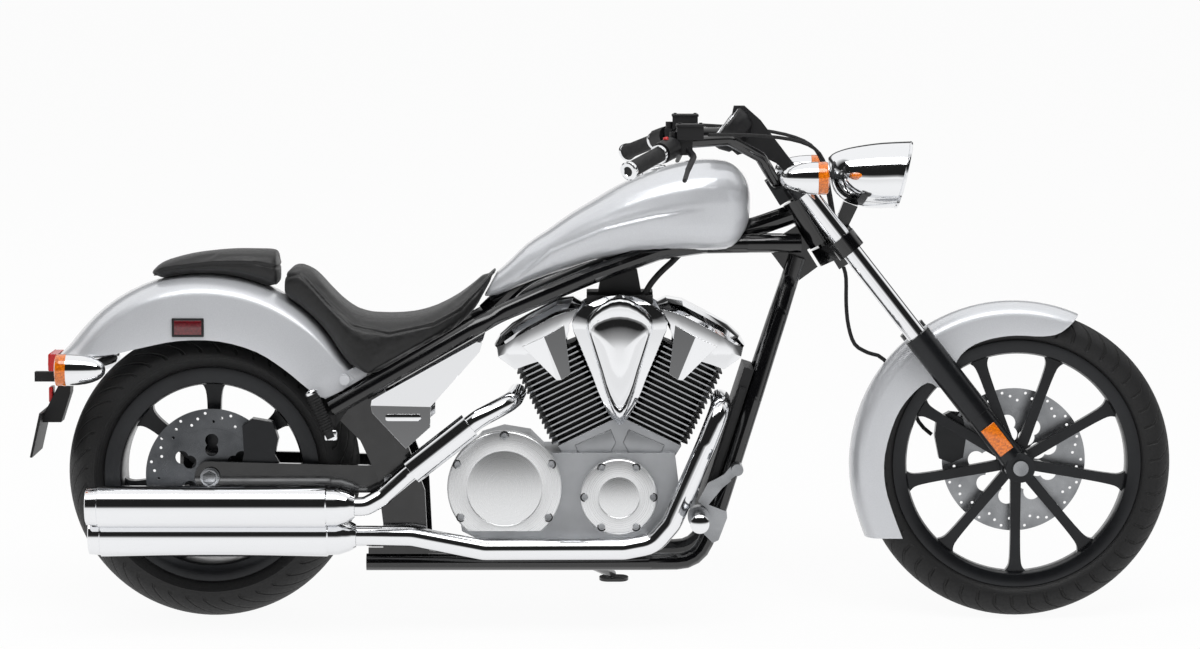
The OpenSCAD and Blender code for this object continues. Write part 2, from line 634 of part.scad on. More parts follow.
// Room for the rails below the tank
module tank_tunnel() {
    for (way = [-1, 1]) mirror([0, way < 0 ? 1 : 0, 0]) skin([for (p = [[760, 762, 118], [850, 800, 112],
        [1000, 853, 96], [1100, 867, 82], [1200, 867, 58], [1230, 867, 50]])
        let(x = stretched(p[0])) [[x, p[2], 700], [x, p[2], p[1]], [x, -1, p[1]], [x, -1, 700]]]);
}

// Rows of the rider's seat: place, bottom, top, half width
seat_rows = [[164, 730, 776, 88, 0.5], [182, 716.5, 797, 98, 0.5], [206, 699, 799, 106, 0.5],
    [232, 676, 777, 112, 0.5], [262, 643.5, 742, 122, 0.5], [292, 600, 712, 138, 0.45],
    [320, 568, 693, 150, 0.35], [350, 550.5, 684, 156, 0.12],
    [375, 564.6, 682, 157, 0.12], [400, 577.7, 681, 157, 0.12],
    [450, 606.3, 684, 152, 0.12], [500, 634.9, 698, 146, 0.12], [550, 663.7, 725, 128, 0.2],
    [588, 700, 755, 94, 0.3], [602, 723, 769, 80, 0.35], [612, 741, 779, 68, 0.4],
    [628, 770, 793, 52, 0.45], [636, 783, 791, 38, 0.5]];
module rider_seat() color(hide) chassis()
    skin([for (r = smooth(seat_rows, 2))
        cross_ring(stretched(r[0]), r[1], r[2], r[3], lerp(r[1], r[2], 0.45), 0.6, r[4])]);
pad_rows = [[-139, 758, 776, 46], [-125, 762.5, 792, 66], [-100, 769, 804, 76], [-50, 776.6, 817, 84],
    [0, 777.2, 824, 88], [50, 771, 828, 88], [100, 757.4, 828, 86], [138, 742, 827, 80], [150, 748, 820, 70]];
module passenger_seat() color(hide) chassis()
    skin([for (r = smooth(pad_rows, 2))
        cross_ring(r[0], r[1], r[2], r[3], lerp(r[1], r[2], 0.5), 0.7, 0.5)]);

// ---- Fenders ----

// One closed section of a fender: from its crown at `top` to the edge of its side at `edge`, both
// [x, z]. The crown falls by drop over the half width.
crown_points = 6;
function fender_side(top, edge, half, drop, wall, inset) =
    let(d = unit(edge - top), reach = norm(edge - top),
        most = reach < drop ? acos(1 - reach / drop) : 90,
        depth = max(reach, drop * (1 - cos(most)) + 0.5))
    concat(
        [for (k = [0 : crown_points]) let(a = most * k / crown_points,
            down = inset + (drop - inset) * (1 - cos(a)), p = top + d * min(down, depth - 0.3))
            [p[0], (half - inset) * sin(a), p[1]]],
        [let(p = top + d * depth) [p[0], (half - inset) * sin(most), p[1]]]);
function fender_ring(top, edge, half, drop, wall) =
    let(outer = fender_side(top, edge, half, drop, wall, 0),
        inner = fender_side(top, edge, half, drop, wall, wall))
    concat(flip(outer), [for (k = [1 : len(outer) - 1]) mirror_3(outer[k])],
        flip([for (k = [1 : len(inner) - 1]) mirror_3(inner[k])]), inner);
function mirror_3(p) = [p[0], -p[1], p[2]];

// Rows: angle of the crown, its radius, edge of the side (x, z), drop of the crown
rear_fender_x = -20;
rear_fender_z = axle_z + 87;
rear_fender_r = 362;
rear_fender_half = rear_half + 18;
rear_fender_rows = [[151, 371, -292, 594, 46], [147, 364, -276, 596, 48], [140, 362, -255, 597, 48],
    [128, 362, -215, 601, 48], [112, 362, -150, 616, 48], [97, 362, -70, 631, 48],
    [83, 362, 20, 630, 48], [68, 362, 104, 606, 46], [54, 362, 168, 565, 42],
    [41, 362, 214, 527, 32], [30, 362, 252, 504, 20], [21.5, 376, 296, 521, 10]];
module rear_fender() color(paint) chassis() {
    skin([for (r = smooth(rear_fender_rows, 3))
        let(top = [rear_fender_x, rear_fender_z] + r[1] * [cos(r[0]), sin(r[0])])
        fender_ring(top, [r[2], r[3]], rear_fender_half, r[4], shell_t)], sheet = true);
    both_sides() disc_at(300, 545, 12, rear_fender_half - 2, rail_y - 9);
}
front_fender_x = wheelbase - 8;
front_fender_z = front_tyre_r - 2;
front_fender_r = 368;
front_fender_half = leg_y - slider_r - 7;
front_fender_rows = [[66.9, 368, 143, 335, 30], [71, 368, 103, 300, 34], [78, 368, 63, 291, 35],
    [89, 368, 3, 293, 35], [99, 368, -47, 287, 35], [109, 368, -92, 272, 35], [117, 368, -122, 248, 35],
    [122, 368, -140, 215, 35], [132, 368, -165, 175, 35], [138, 368, -196, 187, 35],
    [146, 368, -236, 154, 35], [158, 368, -267, 105, 35], [175, 368, -290, 25, 35],
    [189, 368, -289, -45, 35], [199, 368, -270, -110, 35], [206.4, 371, -249, -165, 35]];
module front_fender() color(paint) {
    centre = [front_fender_x, front_fender_z];
    skin([for (r = flip(smooth(front_fender_rows, 3)))
        fender_ring(centre + r[1] * [cos(r[0]), sin(r[0])], centre + [r[2], r[3]],
            front_fender_half, r[4], shell_t)], sheet = true);
    both_sides() leg(1) translate([0, front_fender_half - 2 - leg_y, 290]) rotate([-90, 0, 0])
        cylinder(r = 11, h = 9 - seat_gap);
}

// ---- Lights and plate ----

signal_y = 160;
module bullet(from, length, r) translate(from) rotate([0, 90, 0]) rotate_extrude() polygon(concat(
    [[0, 0]], [for (a = [12 : 12 : 84]) [r * pow(sin(a), 0.85), length * 0.8 * (1 - cos(a))]],
    [[r, length * 0.8], [r, length], [0, length]]));
module tail_light() color("firebrick") chassis()
    side_plate([[-346, 596], [-346, 558], [-362, 558], [-368, 572], [-366, 596]], -58, 58);
module plate_bracket() color(black) chassis() {
    side_plate([[-345.5, 594.3], [-300, 594.3], [-302, 575], [-320, 548], [-322, 505], [-343, 440],
        [-386, 440], [-381, 462], [-376, 470], [-350, 520], [-345.5, 535]], -30, 30);
    side_plate([[-345, 552], [-404, 552], [-404, 530], [-345, 530]], -12, 12);
    side_plate([[-378, 466], [-384, 467], [-406, 368], [-401, 367]], -95, 95);
}
module rear_signals() color(chrome) chassis() both_sides() {
    translate([-228, signal_y, 570]) mirror([1, 0, 0]) bullet([0, 0, 0], 107, 35);
    disc_at(-318, 570, 9, 30 + seat_gap, signal_y - 20);
}

// ---- Steering: everything that turns with the fork ----

low_clamp_h = head_low_h - 45;
low_clamp_t = 40;
top_clamp_h = head_top_h + 5;
top_clamp_t = 28;
function leg_s(h) = (h - axle_h) / cos(fork_kick);
// Plate across both legs with a sleeve round each, bored for the fork tubes
module clamp(h, t, boss_r, sleeve_r) {
    ahead = leg_ahead(h + t / 2);
    steering_axis() translate([0, 0, h]) {
        cylinder(r = boss_r, h = t);
        linear_extrude(t) polygon([[-boss_r + 8, -22], [ahead - 20, -leg_y], [ahead + 20, -leg_y],
            [ahead + 20, leg_y], [ahead - 20, leg_y], [-boss_r + 8, 22]]);
    }
    for (side = [-1, 1]) leg(side) translate([0, 0, leg_s(h)]) cylinder(r = sleeve_r, h = t);
}
module leg_bores(r) for (side = [-1, 1]) leg(side) translate([0, 0, 500]) cylinder(r = r, h = 500);
module steering_stem() color(black) {
    difference() {
        clamp(low_clamp_h, low_clamp_t, head_r, fork_tube_r + 10.5);
        leg_bores(fork_tube_r + seat_gap);
    }
    steering_axis() {
        translate([0, 0, low_clamp_h + 1]) cylinder(r = stem_r, h = top_clamp_h + top_clamp_t - low_clamp_h);
        translate([0, 0, top_clamp_h + top_clamp_t + seat_gap]) cylinder(r = stem_r + 3, h = 5);
        box([-2, 18, low_clamp_h - 30], [22, 44, low_clamp_h + 1]);
    }
}
bar_ahead = -20.3;
bar_h = top_clamp_h + top_clamp_t + 21;
module upper_clamp() color(alloy) difference() {
    union() {
        clamp(top_clamp_h, top_clamp_t, 30, fork_tube_r + 8.5);
        steering_axis() for (side = [-1, 1])
            translate([bar_ahead - 19, side * 32 - 11, top_clamp_h + 2]) cube([38, 22, top_clamp_t + 34]);
    }
    leg_bores(fork_tube_r + seat_gap);
    steering_axis() {
        translate([0, 0, top_clamp_h - 10]) cylinder(r = stem_r + seat_gap, h = 60);
        translate([0, 0, top_clamp_h + top_clamp_t]) cylinder(r = stem_r + 5, h = 60);
        translate([bar_ahead, -100, bar_h]) rotate([-90, 0, 0]) cylinder(r = bar_r + seat_gap, h = 200);
    }
}
slider_top = 374.6;
slider_bore = 320;
slider_step = 3;
module fork_tubes() color(chrome) for (side = [-1, 1]) leg(side)
    translate([0, 0, slider_bore + seat_gap])
        cylinder(r = fork_tube_r, h = leg_s(top_clamp_h + top_clamp_t + 5) - slider_bore);
module fork_sliders() color(black) both_sides() leg(1) difference() {
    union() {
        translate([0, 0, 26]) cylinder(r = slider_r - slider_step, h = slider_top - 40);
        translate([0, 0, 150]) cylinder(r = slider_r, h = slider_top - 150);
        translate([0, -slider_r, 0]) rotate([-90, 0, 0]) cylinder(r = 33, h = slider_r + 26);
    }
    translate([0, 0, slider_bore]) cylinder(r = fork_tube_r + seat_gap, h = 200);
    translate([0, -60, 0]) rotate([-90, 0, 0]) cylinder(r = front_axle_r + seat_gap, h = 120);
}
module front_axle() color(steel) front_wheel() {
    lug = leg_y + 26;
    cylinder(r = front_axle_r, h = 2 * lug + 6, center = true);
    for (way = [-1, 1]) translate([0, 0, way * (lug + seat_gap + 6)])
        cylinder(r = 17, h = 12, center = true);
    for (way = [-1, 1]) translate([0, 0, way * (leg_y - slider_r - seat_gap - 6.7)])
        cylinder(r = 16, h = 13.4, center = true);
}

// Headlight: rows of place, bottom, top, half width and how far the section leans ahead
lamp_rows = [[1380, 1000, 1034, 14, 0], [1392, 962, 1044, 38, 0], [1414, 938, 1054, 58, 0.03],
    [1445, 926, 1062, 72, 0.08], [1480, 920, 1068, 80, 0.15], [1527, 921, 1071, 84, 0.236]];
module headlight() color(chrome) front() skin([for (r = smooth(lamp_rows, 3))
    [for (p = cross_ring(r[0], r[1], r[2], r[3], lerp(r[1], r[2], 0.5), 1, 1))
        [p[0] + r[4] * (p[2] - r[1]), p[1], p[2]]]]);
module headlight_bracket() color(black) front()
    side_plate([[1403.5, 861.9], [1421, 872.6], [1446, 924.2], [1414, 936], [1402, 905]], -16, 16);

function bar_side(y) = 70 + (y - 70) * (bar_half - 70) / 370;
bar_points = [[0, 978], [70, 978], [120, 1040], [190, 1082], [270, 1078], [325, 1066], [440, 1028]];
bar_x = [1262, 1262, 1225, 1150, 1050, 1015, 935];
bar_line = [for (i = [0 : len(bar_x) - 1])
    let(y = bar_points[i][0]) [bar_x[i], y <= 70 ? y : bar_side(y), bar_points[i][1]]];
bar_turn = 45;
full_bar = concat([for (i = [len(bar_line) - 1 : -1 : 1]) mirror_3(bar_line[i])],
    [for (i = [1 : len(bar_line) - 1]) bar_line[i]]);
module bar_solid(r) tube(rounded(full_bar, bar_turn), r);
module handlebar() color(black) front() bar_solid(bar_r);
bar_bend = bar_line[5];
bar_end = bar_line[6];
grip_from = lerp(bar_bend, bar_end, 0.2);
grip_to = bar_end + 12 * unit(bar_end - bar_bend);
module grips() color(rubber) front() both_sides() difference() {
    tube([grip_from, lerp(grip_from, bar_end, 0.9), bar_end, grip_to], [17, 17.5, 19.5, 17]);
    tube([lerp(bar_bend, bar_end, 0.1), bar_end + 0.5 * unit(bar_end - bar_bend)], bar_r + seat_gap);
}
near_bar = [for (i = [3 : 6]) bar_line[i]];
perch = lerp(bar_line[4], bar_bend, 0.42);
// Threaded hole for a mirror's stem
mirror_hole_r = 5;
mirror_depth = 15;
mirror_top = 30;
mirror_ahead = -7;
module hand_controls() color(black) front() both_sides() {
    difference() {
        union() {
            tube([lerp(bar_line[4], bar_bend, 0.72), lerp(bar_bend, bar_end, 0.03),
                lerp(bar_bend, bar_end, 0.18)], 24);
            box(perch + [-18, -16, -20], perch + [34, 16, 14]);
            box(perch + [0, -24, 13], perch + [58, 22, 42]);
            translate(perch + [mirror_ahead, 0, 10]) cylinder(r = 9, h = mirror_top - 10);
        }
        tube(rounded(near_bar, bar_turn), bar_r + 0.7);
        translate(perch + [mirror_ahead, 0, mirror_top - mirror_depth])
            cylinder(r = mirror_hole_r, h = mirror_depth + 5);
    }
    tube(rounded([perch + [22, 0, -6], perch + [36, 50, -22], perch + [22, 110, -48],
        perch + [14, 160, -68]], 30), [for (k = [0 : 13]) 8 - 0.25 * k], 8);
}

// Instrument pod on a neck that stands on the upper clamp
module instrument_pod() color(black) front() {
    side_plate([[1168, 1150], [1192, 1150], [1228, 1118], [1246, 1094], [1292, 1034], [1325, 994],
        [1308.4, 983.2], [1262, 1022], [1206, 1050], [1176, 1040], [1150, 1062]], -17, 17);
    translate([1150, 0, 1108]) rotate([0, -52, 0]) translate([0, 0, -44]) rotate_extrude($fn = 64)
        polygon([[0, -14], [22, -12], [44, 0], [53, 22], [54, 40], [51, 45], [47, 45], [45, 39], [0, 39]]);
}
module front_signals() color(chrome) both_sides() {
    front() translate([1265, signal_y + 6, 996]) bullet([0, 0, 0], 103, 36);
    leg(1) translate([0, fork_tube_r + 8.5 + seat_gap, leg_s(top_clamp_h + 14)])
        rotate([-90, 0, 0]) cylinder(r = 8, h = 24);
}
caliper_in = front_hub_half - 10;
module front_caliper() color(black) translate([wheelbase - 1805, 0, front_tyre_r - 347]) {
    difference() {
        side_plate([[1636, 350], [1626, 400], [1630, 440], [1660, 456], [1690, 440], [1697, 400],
            [1690, 352], [1664, 340]], caliper_in, caliper_in + 36);
        translate([1805, front_hub_half - 3.2, 347]) rotate([-90, 0, 0])
            cylinder(r = front_disc_r + 6, h = disc_t + 7);
    }
    side_plate([[1660, 456], [1702, 452], [1742, 424], [1752, 386], [1690, 360]],
        front_hub_half + disc_t + 4.2, leg_y - slider_r + slider_step - seat_gap);
}
hose_line = [[1417, 31, 785.4], [1423, 33, 760], [1424, 40, 700], [1430, 50, 650], [1445, 62, 608],
    [1475, 72, 588], [1512, 76, 572], [1560, 76, 500], [1592, 74, 430], [1620.8, 66, 402]];
module brake_hose() color(black) front() tube(smooth(hose_line, 3), 4.5, 8);
cable_line = [[1105, 268, 1096], [1200, 200, 1092], [1290, 130, 1080], [1345, 92, 1058],
    [1370, 76, 1020], [1378, 68, 975], [1390, 50, 910], [1396.8, 40, 859.6]];
module control_cables() color(black) front() both_sides() tube(smooth(cable_line, 3), 4, 8);

// ---- Side stand ----

stand_home = [840, 132, 98];
stand_pivot = along(stand_home) + [0, 0, chassis_lift];
stand_reach = [60, 153];
stand_axis = unit([0.047, 0.382, 0.923]);
// Height of the ground in the upright frame once the machine leans
function ground(x, y) =
    ((x * sin(nose_dip) - park_lift) / cos(nose_dip) + y * sin(lean)) / cos(lean);
stand_foot = let(x = stand_pivot[0] + stand_reach[0], y = stand_pivot[1] + stand_reach[1]) [x, y, ground(x, y)];
stand_r = 10;
module along_axis(at, axis) translate(at)
    rotate([0, acos(axis[2]), atan2(axis[1], axis[0])]) children();
module side_stand() color(black) {
    along_axis(stand_pivot, stand_axis) translate([0, 0, -8]) cylinder(r = 15, h = 19);
    tube([stand_pivot, stand_foot + [-4, -12, 15]], stand_r, up = [0, 0, 1]);
    translate(stand_foot) rotate([lean, 0, 0]) linear_extrude(7) polygon(concat(
        arc([14, 0], 20, -90, 90, 8), arc([-14, 0], 20, 90, 270, 8)));
}
module stand_lug() along_axis(stand_pivot - [0, 0, chassis_lift], stand_axis)
    translate([0, 0, 11.5]) cylinder(r = 12, h = 20);

// ---- All pieces ----

parked() steering_head();
parked() backbone();
parked() upper_rails();
parked() cradle_left();
parked() cradle_right();
parked() pivot_plates();
parked() swingarm();
parked() final_drive();
parked() rear_axle();
parked() rear_caliper();
parked() crankcase();
parked() right_engine_covers();
parked() left_engine_covers();
parked() cylinders();
parked() rocker_covers();
parked() intake_box();
parked() intake_covers();
parked() exhaust_pipes();
parked() mufflers();
parked() radiator();
parked() foot_controls();
parked() passenger_pegs();
parked() side_covers();
parked() fuel_tank();
parked() rider_seat();
parked() passenger_seat();
parked() rear_fender();
parked() tail_light();
parked() rear_signals();
parked() plate_bracket();
parked() rear_tyre();
parked() rear_rim();
parked() rear_disc();
parked() front_tyre();
parked() front_rim();
parked() front_disc();
parked() steering_stem();
parked() upper_clamp();
parked() fork_tubes();
parked() fork_sliders();
parked() front_axle();
parked() front_fender();
parked() headlight();
parked() headlight_bracket();
parked() handlebar();
parked() grips();
parked() hand_controls();
parked() instrument_pod();
parked() front_signals();
parked() front_caliper();
parked() brake_hose();
parked() control_cables();
parked() side_stand();
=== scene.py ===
"""Finishes, lamps, seats, fasteners and studio for a long-fork V-twin cruiser.

Every new piece is drawn in the machine's own upright frame, in millimetres: the origin is on the
ground below the rear axle, X runs ahead, Y to the rider's left and Z up. PARKED then leans it into
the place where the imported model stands.
"""

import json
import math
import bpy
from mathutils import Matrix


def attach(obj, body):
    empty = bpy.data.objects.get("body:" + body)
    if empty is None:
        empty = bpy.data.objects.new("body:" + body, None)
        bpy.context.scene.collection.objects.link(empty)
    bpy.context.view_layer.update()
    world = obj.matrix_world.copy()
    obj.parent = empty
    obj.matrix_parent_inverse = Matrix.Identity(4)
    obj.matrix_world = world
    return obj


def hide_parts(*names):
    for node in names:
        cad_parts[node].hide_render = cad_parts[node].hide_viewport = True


bl_info = {
    "name": "Long-fork cruiser looks",
    "version": (1, 0, 0),
    "blender": (4, 5, 0),
    "location": "View3D > Sidebar > Cruiser",
    "description": "Finishes, lamps, seats, fasteners and studio around the packed cruiser",
    "category": "Object",
}

import bmesh
import bpy
from bpy.props import FloatProperty, IntProperty, PointerProperty, StringProperty
from mathutils import Matrix, Vector

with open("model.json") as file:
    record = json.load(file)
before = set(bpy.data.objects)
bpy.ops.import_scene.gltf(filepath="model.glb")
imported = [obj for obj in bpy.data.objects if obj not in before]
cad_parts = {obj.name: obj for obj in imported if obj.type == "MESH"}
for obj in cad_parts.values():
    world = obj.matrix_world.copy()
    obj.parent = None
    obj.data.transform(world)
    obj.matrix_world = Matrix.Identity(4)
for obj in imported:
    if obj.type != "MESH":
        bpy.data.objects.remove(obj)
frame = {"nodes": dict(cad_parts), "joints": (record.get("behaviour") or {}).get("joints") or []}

SIDES = (-1, 1)
MM = 0.001
# Places on the upright machine, in millimetres
REAR_AXLE = Vector((0, 0, 328))
FRONT_AXLE = Vector((1805, 0, 347))
ENGINE_X = 912
CRANK_Z = 285
LEG_ANGLE = math.radians(38)


# ---- The upright frame ----


def joint(name):
    """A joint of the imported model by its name."""
    return next(j for j in frame["joints"] if j["name"] == name)


def upright_frame():
    """Matrix from the upright machine in millimetres to the row in metres.

    The two wheels' axles fix it, because their places on the upright machine are known.
    """
    across_up = Vector((0, 1, 0))
    rear, front = (Vector(joint(n)["pos_m"]) for n in ("rear_wheel_spin", "front_wheel_spin"))
    across = Vector(joint("rear_wheel_spin")["axis"]).normalized()
    ahead_up = (FRONT_AXLE - REAR_AXLE).normalized()
    ahead = (front - rear).normalized()
    drawn = Matrix((ahead_up, across_up, ahead_up.cross(across_up))).transposed()
    stood = Matrix((ahead, across, ahead.cross(across))).transposed()
    turn = stood @ drawn.transposed()
    place = Matrix.Translation(rear - turn @ (REAR_AXLE * MM)) @ turn.to_4x4()
    return place @ Matrix.Scale(MM, 4)


PARKED = upright_frame()


# ---- Settings ----


class CruiserFinishes(bpy.types.PropertyGroup):
    """Colours of the finishes, as sRGB hex."""

    lacquer: StringProperty(
        name="Lacquer", description="Pearl lacquer of the tank and fenders", default="#D8DADE"
    )
    enamel: StringProperty(name="Enamel", description="Gloss black of the frame", default="#08080A")
    wheel_coat: StringProperty(
        name="Wheel coat", description="Dark coat of the wheels and sliders", default="#1E2023"
    )
    chrome: StringProperty(name="Chrome", description="Tint of the chrome plate", default="#F1F2F4")
    alloy: StringProperty(name="Alloy", description="Tint of bare aluminium", default="#ECEDEE")
    leather: StringProperty(name="Leather", description="Leather of both seats", default="#161617")
    rubber: StringProperty(name="Rubber", description="Rubber of the tyres", default="#131314")
    amber: StringProperty(name="Amber", description="Lenses of the turn signals", default="#F2780C")
    red: StringProperty(name="Red", description="Tail lens and rear reflectors", default="#8E0F12")


class CruiserSizes(bpy.types.PropertyGroup):
    """Sizes of the details."""

    bolt_r: FloatProperty(
        name="Bolt head radius", description="Cover bolts, millimetres", default=7.5, min=4, max=10
    )
    groove_count: IntProperty(
        name="Tread grooves", description="Slanted grooves around each tyre", default=44, min=20, max=80
    )
    seam: FloatProperty(
        name="Seam depth", description="Depth of the seats' seams, millimetres", default=2.2, min=0.5, max=5
    )


class CruiserStudio(bpy.types.PropertyGroup):
    """Camera and light."""

    distance: FloatProperty(
        name="Camera distance", description="From the machine's middle plane",
        default=10.0, min=4, max=20, unit="LENGTH"
    )
    width: FloatProperty(
        name="Width in view", description="Seen at the middle plane", default=2.7, min=2, max=6, unit="LENGTH"
    )
    key_power: FloatProperty(
        name="Key light", description="Power of the overhead softbox",
        default=95.0, min=0, max=1000, unit="POWER"
    )
    fill_power: FloatProperty(
        name="Fill light", description="Power of each side softbox",
        default=30.0, min=0, max=1000, unit="POWER"
    )
    world_strength: FloatProperty(
        name="Room light", description="Strength of the white room on the object", default=0.5, min=0, max=2
    )


def finishes():
    return bpy.context.scene.cruiser_finishes


def sizes():
    return bpy.context.scene.cruiser_sizes


# ---- Materials ----


def linear(code):
    """Linear colour of an sRGB hex code."""
    parts = [int(code[i : i + 2], 16) / 255 for i in (1, 3, 5)]
    return [c / 12.92 if c <= 0.04045 else ((c + 0.055) / 1.055) ** 2.4 for c in parts] + [1.0]


def add(tree, kind, links=None, values=None, **settings):
    """Adds one node with its settings, its values and its links."""
    made = tree.nodes.new("ShaderNode" + kind)
    for name, value in settings.items():
        setattr(made, name, value)
    for name, value in (values or {}).items():
        made.inputs[name].default_value = value
    for name, source in (links or {}).items():
        tree.links.new(source, made.inputs[name])
    return made


SOCKETS = {
    "coat_weight": "Coat Weight",
    "coat_roughness": "Coat Roughness",
    "sheen_weight": "Sheen Weight",
    "specular_level": "Specular IOR Level",
    "transmission_weight": "Transmission Weight",
    "ior": "IOR",
}


def surface(name, code, metallic=0.0, roughness=0.5, **values):
    """A new material with its shader: (material, tree, shader)."""
    material = bpy.data.materials.new(name)
    material.use_nodes = True
    tree = material.node_tree
    shader = tree.nodes["Principled BSDF"]
    shader.inputs["Base Color"].default_value = linear(code)
    shader.inputs["Metallic"].default_value = metallic
    shader.inputs["Roughness"].default_value = roughness
    for key, value in values.items():
        shader.inputs[SOCKETS[key]].default_value = value
    return material, tree, shader


def in_piece(tree, centre=None, turn=None, output="Object"):
    """Object coordinates, centred and turned on one piece where it needs that."""
    spot = add(tree, "TexCoord").outputs[output]
    if centre is None:
        return spot
    placed = {"Location": centre, "Rotation": turn}
    return add(tree, "Mapping", {"Vector": spot}, placed, vector_type="TEXTURE").outputs["Vector"]


def grain(tree, spot, pitch_mm, detail=3.0, stretch=(1, 1, 1)):
    """Noise whose lumps are about pitch_mm across."""
    spread = add(tree, "Mapping", {"Vector": spot}, {"Scale": stretch}).outputs["Vector"]
    size = {"Scale": 1 / (pitch_mm * MM), "Detail": detail}
    return add(tree, "TexNoise", {"Vector": spread}, size).outputs["Fac"]


def rings(tree, reach, scale, detail):
    """Noise along one value, such as a distance from an axis."""
    size = {"Scale": scale, "Detail": detail}
    return add(tree, "TexNoise", {"W": reach}, size, noise_dimensions="1D").outputs["Fac"]


def cells(tree, spot, pitch_mm, **settings):
    """Distance to the nearest point of a pattern of cells."""
    size = {"Scale": 1 / (pitch_mm * MM)}
    return add(tree, "TexVoronoi", {"Vector": spot}, size, feature="F1", **settings).outputs["Distance"]


def span(tree, value, low, high, to_low=0.0, to_high=1.0):
    """Carries a value from one range to another."""
    ends = {"From Min": low, "From Max": high, "To Min": to_low, "To Max": to_high}
    return add(tree, "MapRange", {"Value": value}, ends).outputs["Result"]


def bump(tree, height, depth_mm, normal=None, strength=1.0):
    links = {"Height": height}
    if normal is not None:
        links["Normal"] = normal
    return add(tree, "Bump", links, {"Strength": strength, "Distance": depth_mm * MM}).outputs["Normal"]


def worn_edges(tree, radius_mm=0.8):
    """Normals that round off hard edges, as castings and bent plates have."""
    return add(tree, "Bevel", values={"Radius": radius_mm * MM}, samples=6).outputs["Normal"]


def normals_from(tree, shader, normal):
    tree.links.new(normal, shader.inputs["Normal"])


def roughness_from(tree, shader, value, low, high):
    tree.links.new(span(tree, value, 0.3, 0.7, low, high), shader.inputs["Roughness"])


def colours_from(tree, shader, value, first, second, low=0.35, high=0.65):
    """Base colour that runs from one hex code to another with a value."""
    mixed = add(tree, "Mix", {"Factor": span(tree, value, low, high)}, data_type="RGBA")
    colour_inputs = [i for i in mixed.inputs if i.type == "RGBA"]
    colour_inputs[0].default_value = linear(first)
    colour_inputs[1].default_value = linear(second)
    out = next(o for o in mixed.outputs if o.type == "RGBA")
    tree.links.new(out, shader.inputs["Base Color"])


def shade(code, factor):
    """The hex code made lighter or darker."""
    parts = [min(255, max(0, round(int(code[i : i + 2], 16) * factor))) for i in (1, 3, 5)]
    return "#%02X%02X%02X" % tuple(parts)


def pearl_lacquer():
    # Sprayed pearl under clear coat: a soft satin glow below a sharp reflection
    material, tree, shader = surface(
        "pearl_lacquer", finishes().lacquer, 0.32, 0.36, coat_weight=1.0, coat_roughness=0.04
    )
    spot = in_piece(tree)
    flake = grain(tree, spot, 1.6, 2.0)
    colours_from(tree, shader, flake, shade(finishes().lacquer, 0.965), finishes().lacquer)
    roughness_from(tree, shader, grain(tree, spot, 60), 0.33, 0.40)
    normals_from(tree, shader, worn_edges(tree, 1.2))
    return material


def gloss_enamel():
    # Baked enamel on steel tube: deep black, mirror gloss with a faint waviness
    material, tree, shader = surface(
        "gloss_enamel", finishes().enamel, 0.0, 0.16, coat_weight=0.6, coat_roughness=0.05
    )
    spot = in_piece(tree)
    roughness_from(tree, shader, grain(tree, spot, 35), 0.12, 0.24)
    ripple = bump(tree, grain(tree, spot, 22), 0.05, worn_edges(tree, 1.0), 0.5)
    normals_from(tree, shader, ripple)
    return material


def wheel_coat():
    # Cast aluminium with a dark satin coat: soft broad highlights along each spoke
    coat = finishes().wheel_coat
    material, tree, shader = surface("wheel_coat", coat, 0.55, 0.34, coat_weight=0.25, coat_roughness=0.2)
    spot = in_piece(tree)
    colours_from(tree, shader, grain(tree, spot, 90), shade(coat, 0.85), coat)
    roughness_from(tree, shader, grain(tree, spot, 14), 0.29, 0.38)
    normals_from(tree, shader, bump(tree, grain(tree, spot, 1.4), 0.03, worn_edges(tree, 2.2), 0.4))
    return material


def chrome_plate():
    # Nickel-chrome on polished steel: mirror with a slightly wavy surface
    material, tree, shader = surface("chrome_plate", finishes().chrome, 1.0, 0.045)
    spot = in_piece(tree)
    roughness_from(tree, shader, grain(tree, spot, 45), 0.03, 0.075)
    normals_from(tree, shader, bump(tree, grain(tree, spot, 90, 0.0), 0.05, worn_edges(tree, 0.8), 0.15))
    return material


def cast_alloy():
    # Sand-cast aluminium: dull grey with a fine pitted skin
    material, tree, shader = surface("cast_alloy", "#B2B4B7", 0.75, 0.42)
    spot = in_piece(tree)
    pits = grain(tree, spot, 1.8)
    colours_from(tree, shader, grain(tree, spot, 60), "#ADAFB2", "#B7B9BC")
    roughness_from(tree, shader, pits, 0.38, 0.46)
    normals_from(tree, shader, bump(tree, pits, 0.05, worn_edges(tree, 1.6), 0.5))
    return material


def turned_alloy(name, centre, turn, metallic):
    # Aluminium turned on a lathe: fine rings round its own middle
    material, tree, shader = surface(name, finishes().alloy, metallic, 0.27)
    spot = in_piece(tree, centre, turn)
    flat = add(tree, "VectorMath", {0: spot}, {1: (1, 1, 0)}, operation="MULTIPLY").outputs["Vector"]
    reach = add(tree, "VectorMath", {0: flat}, operation="LENGTH").outputs["Value"]
    # Rings are 0.4 mm apart on the real part and 1.2 mm here, so that they show
    ring = rings(tree, reach, 1 / (1.2 * MM), 2.0)
    roughness_from(tree, shader, ring, 0.27, 0.30)
    normals_from(tree, shader, bump(tree, ring, 0.01, worn_edges(tree, 1.2), 0.08))
    return material


def ground_steel(name="ground_steel", dull="#96989B", bright="#B8BABD"):
    # Ground stainless disc: brushed grain over slow patches of light and dark
    material, tree, shader = surface(name, dull, 1.0, 0.3)
    spot = in_piece(tree)
    lines = grain(tree, spot, 1.2, 4.0, (1, 0.2, 1))
    colours_from(tree, shader, grain(tree, spot, 70), dull, bright)
    roughness_from(tree, shader, lines, 0.24, 0.38)
    return material


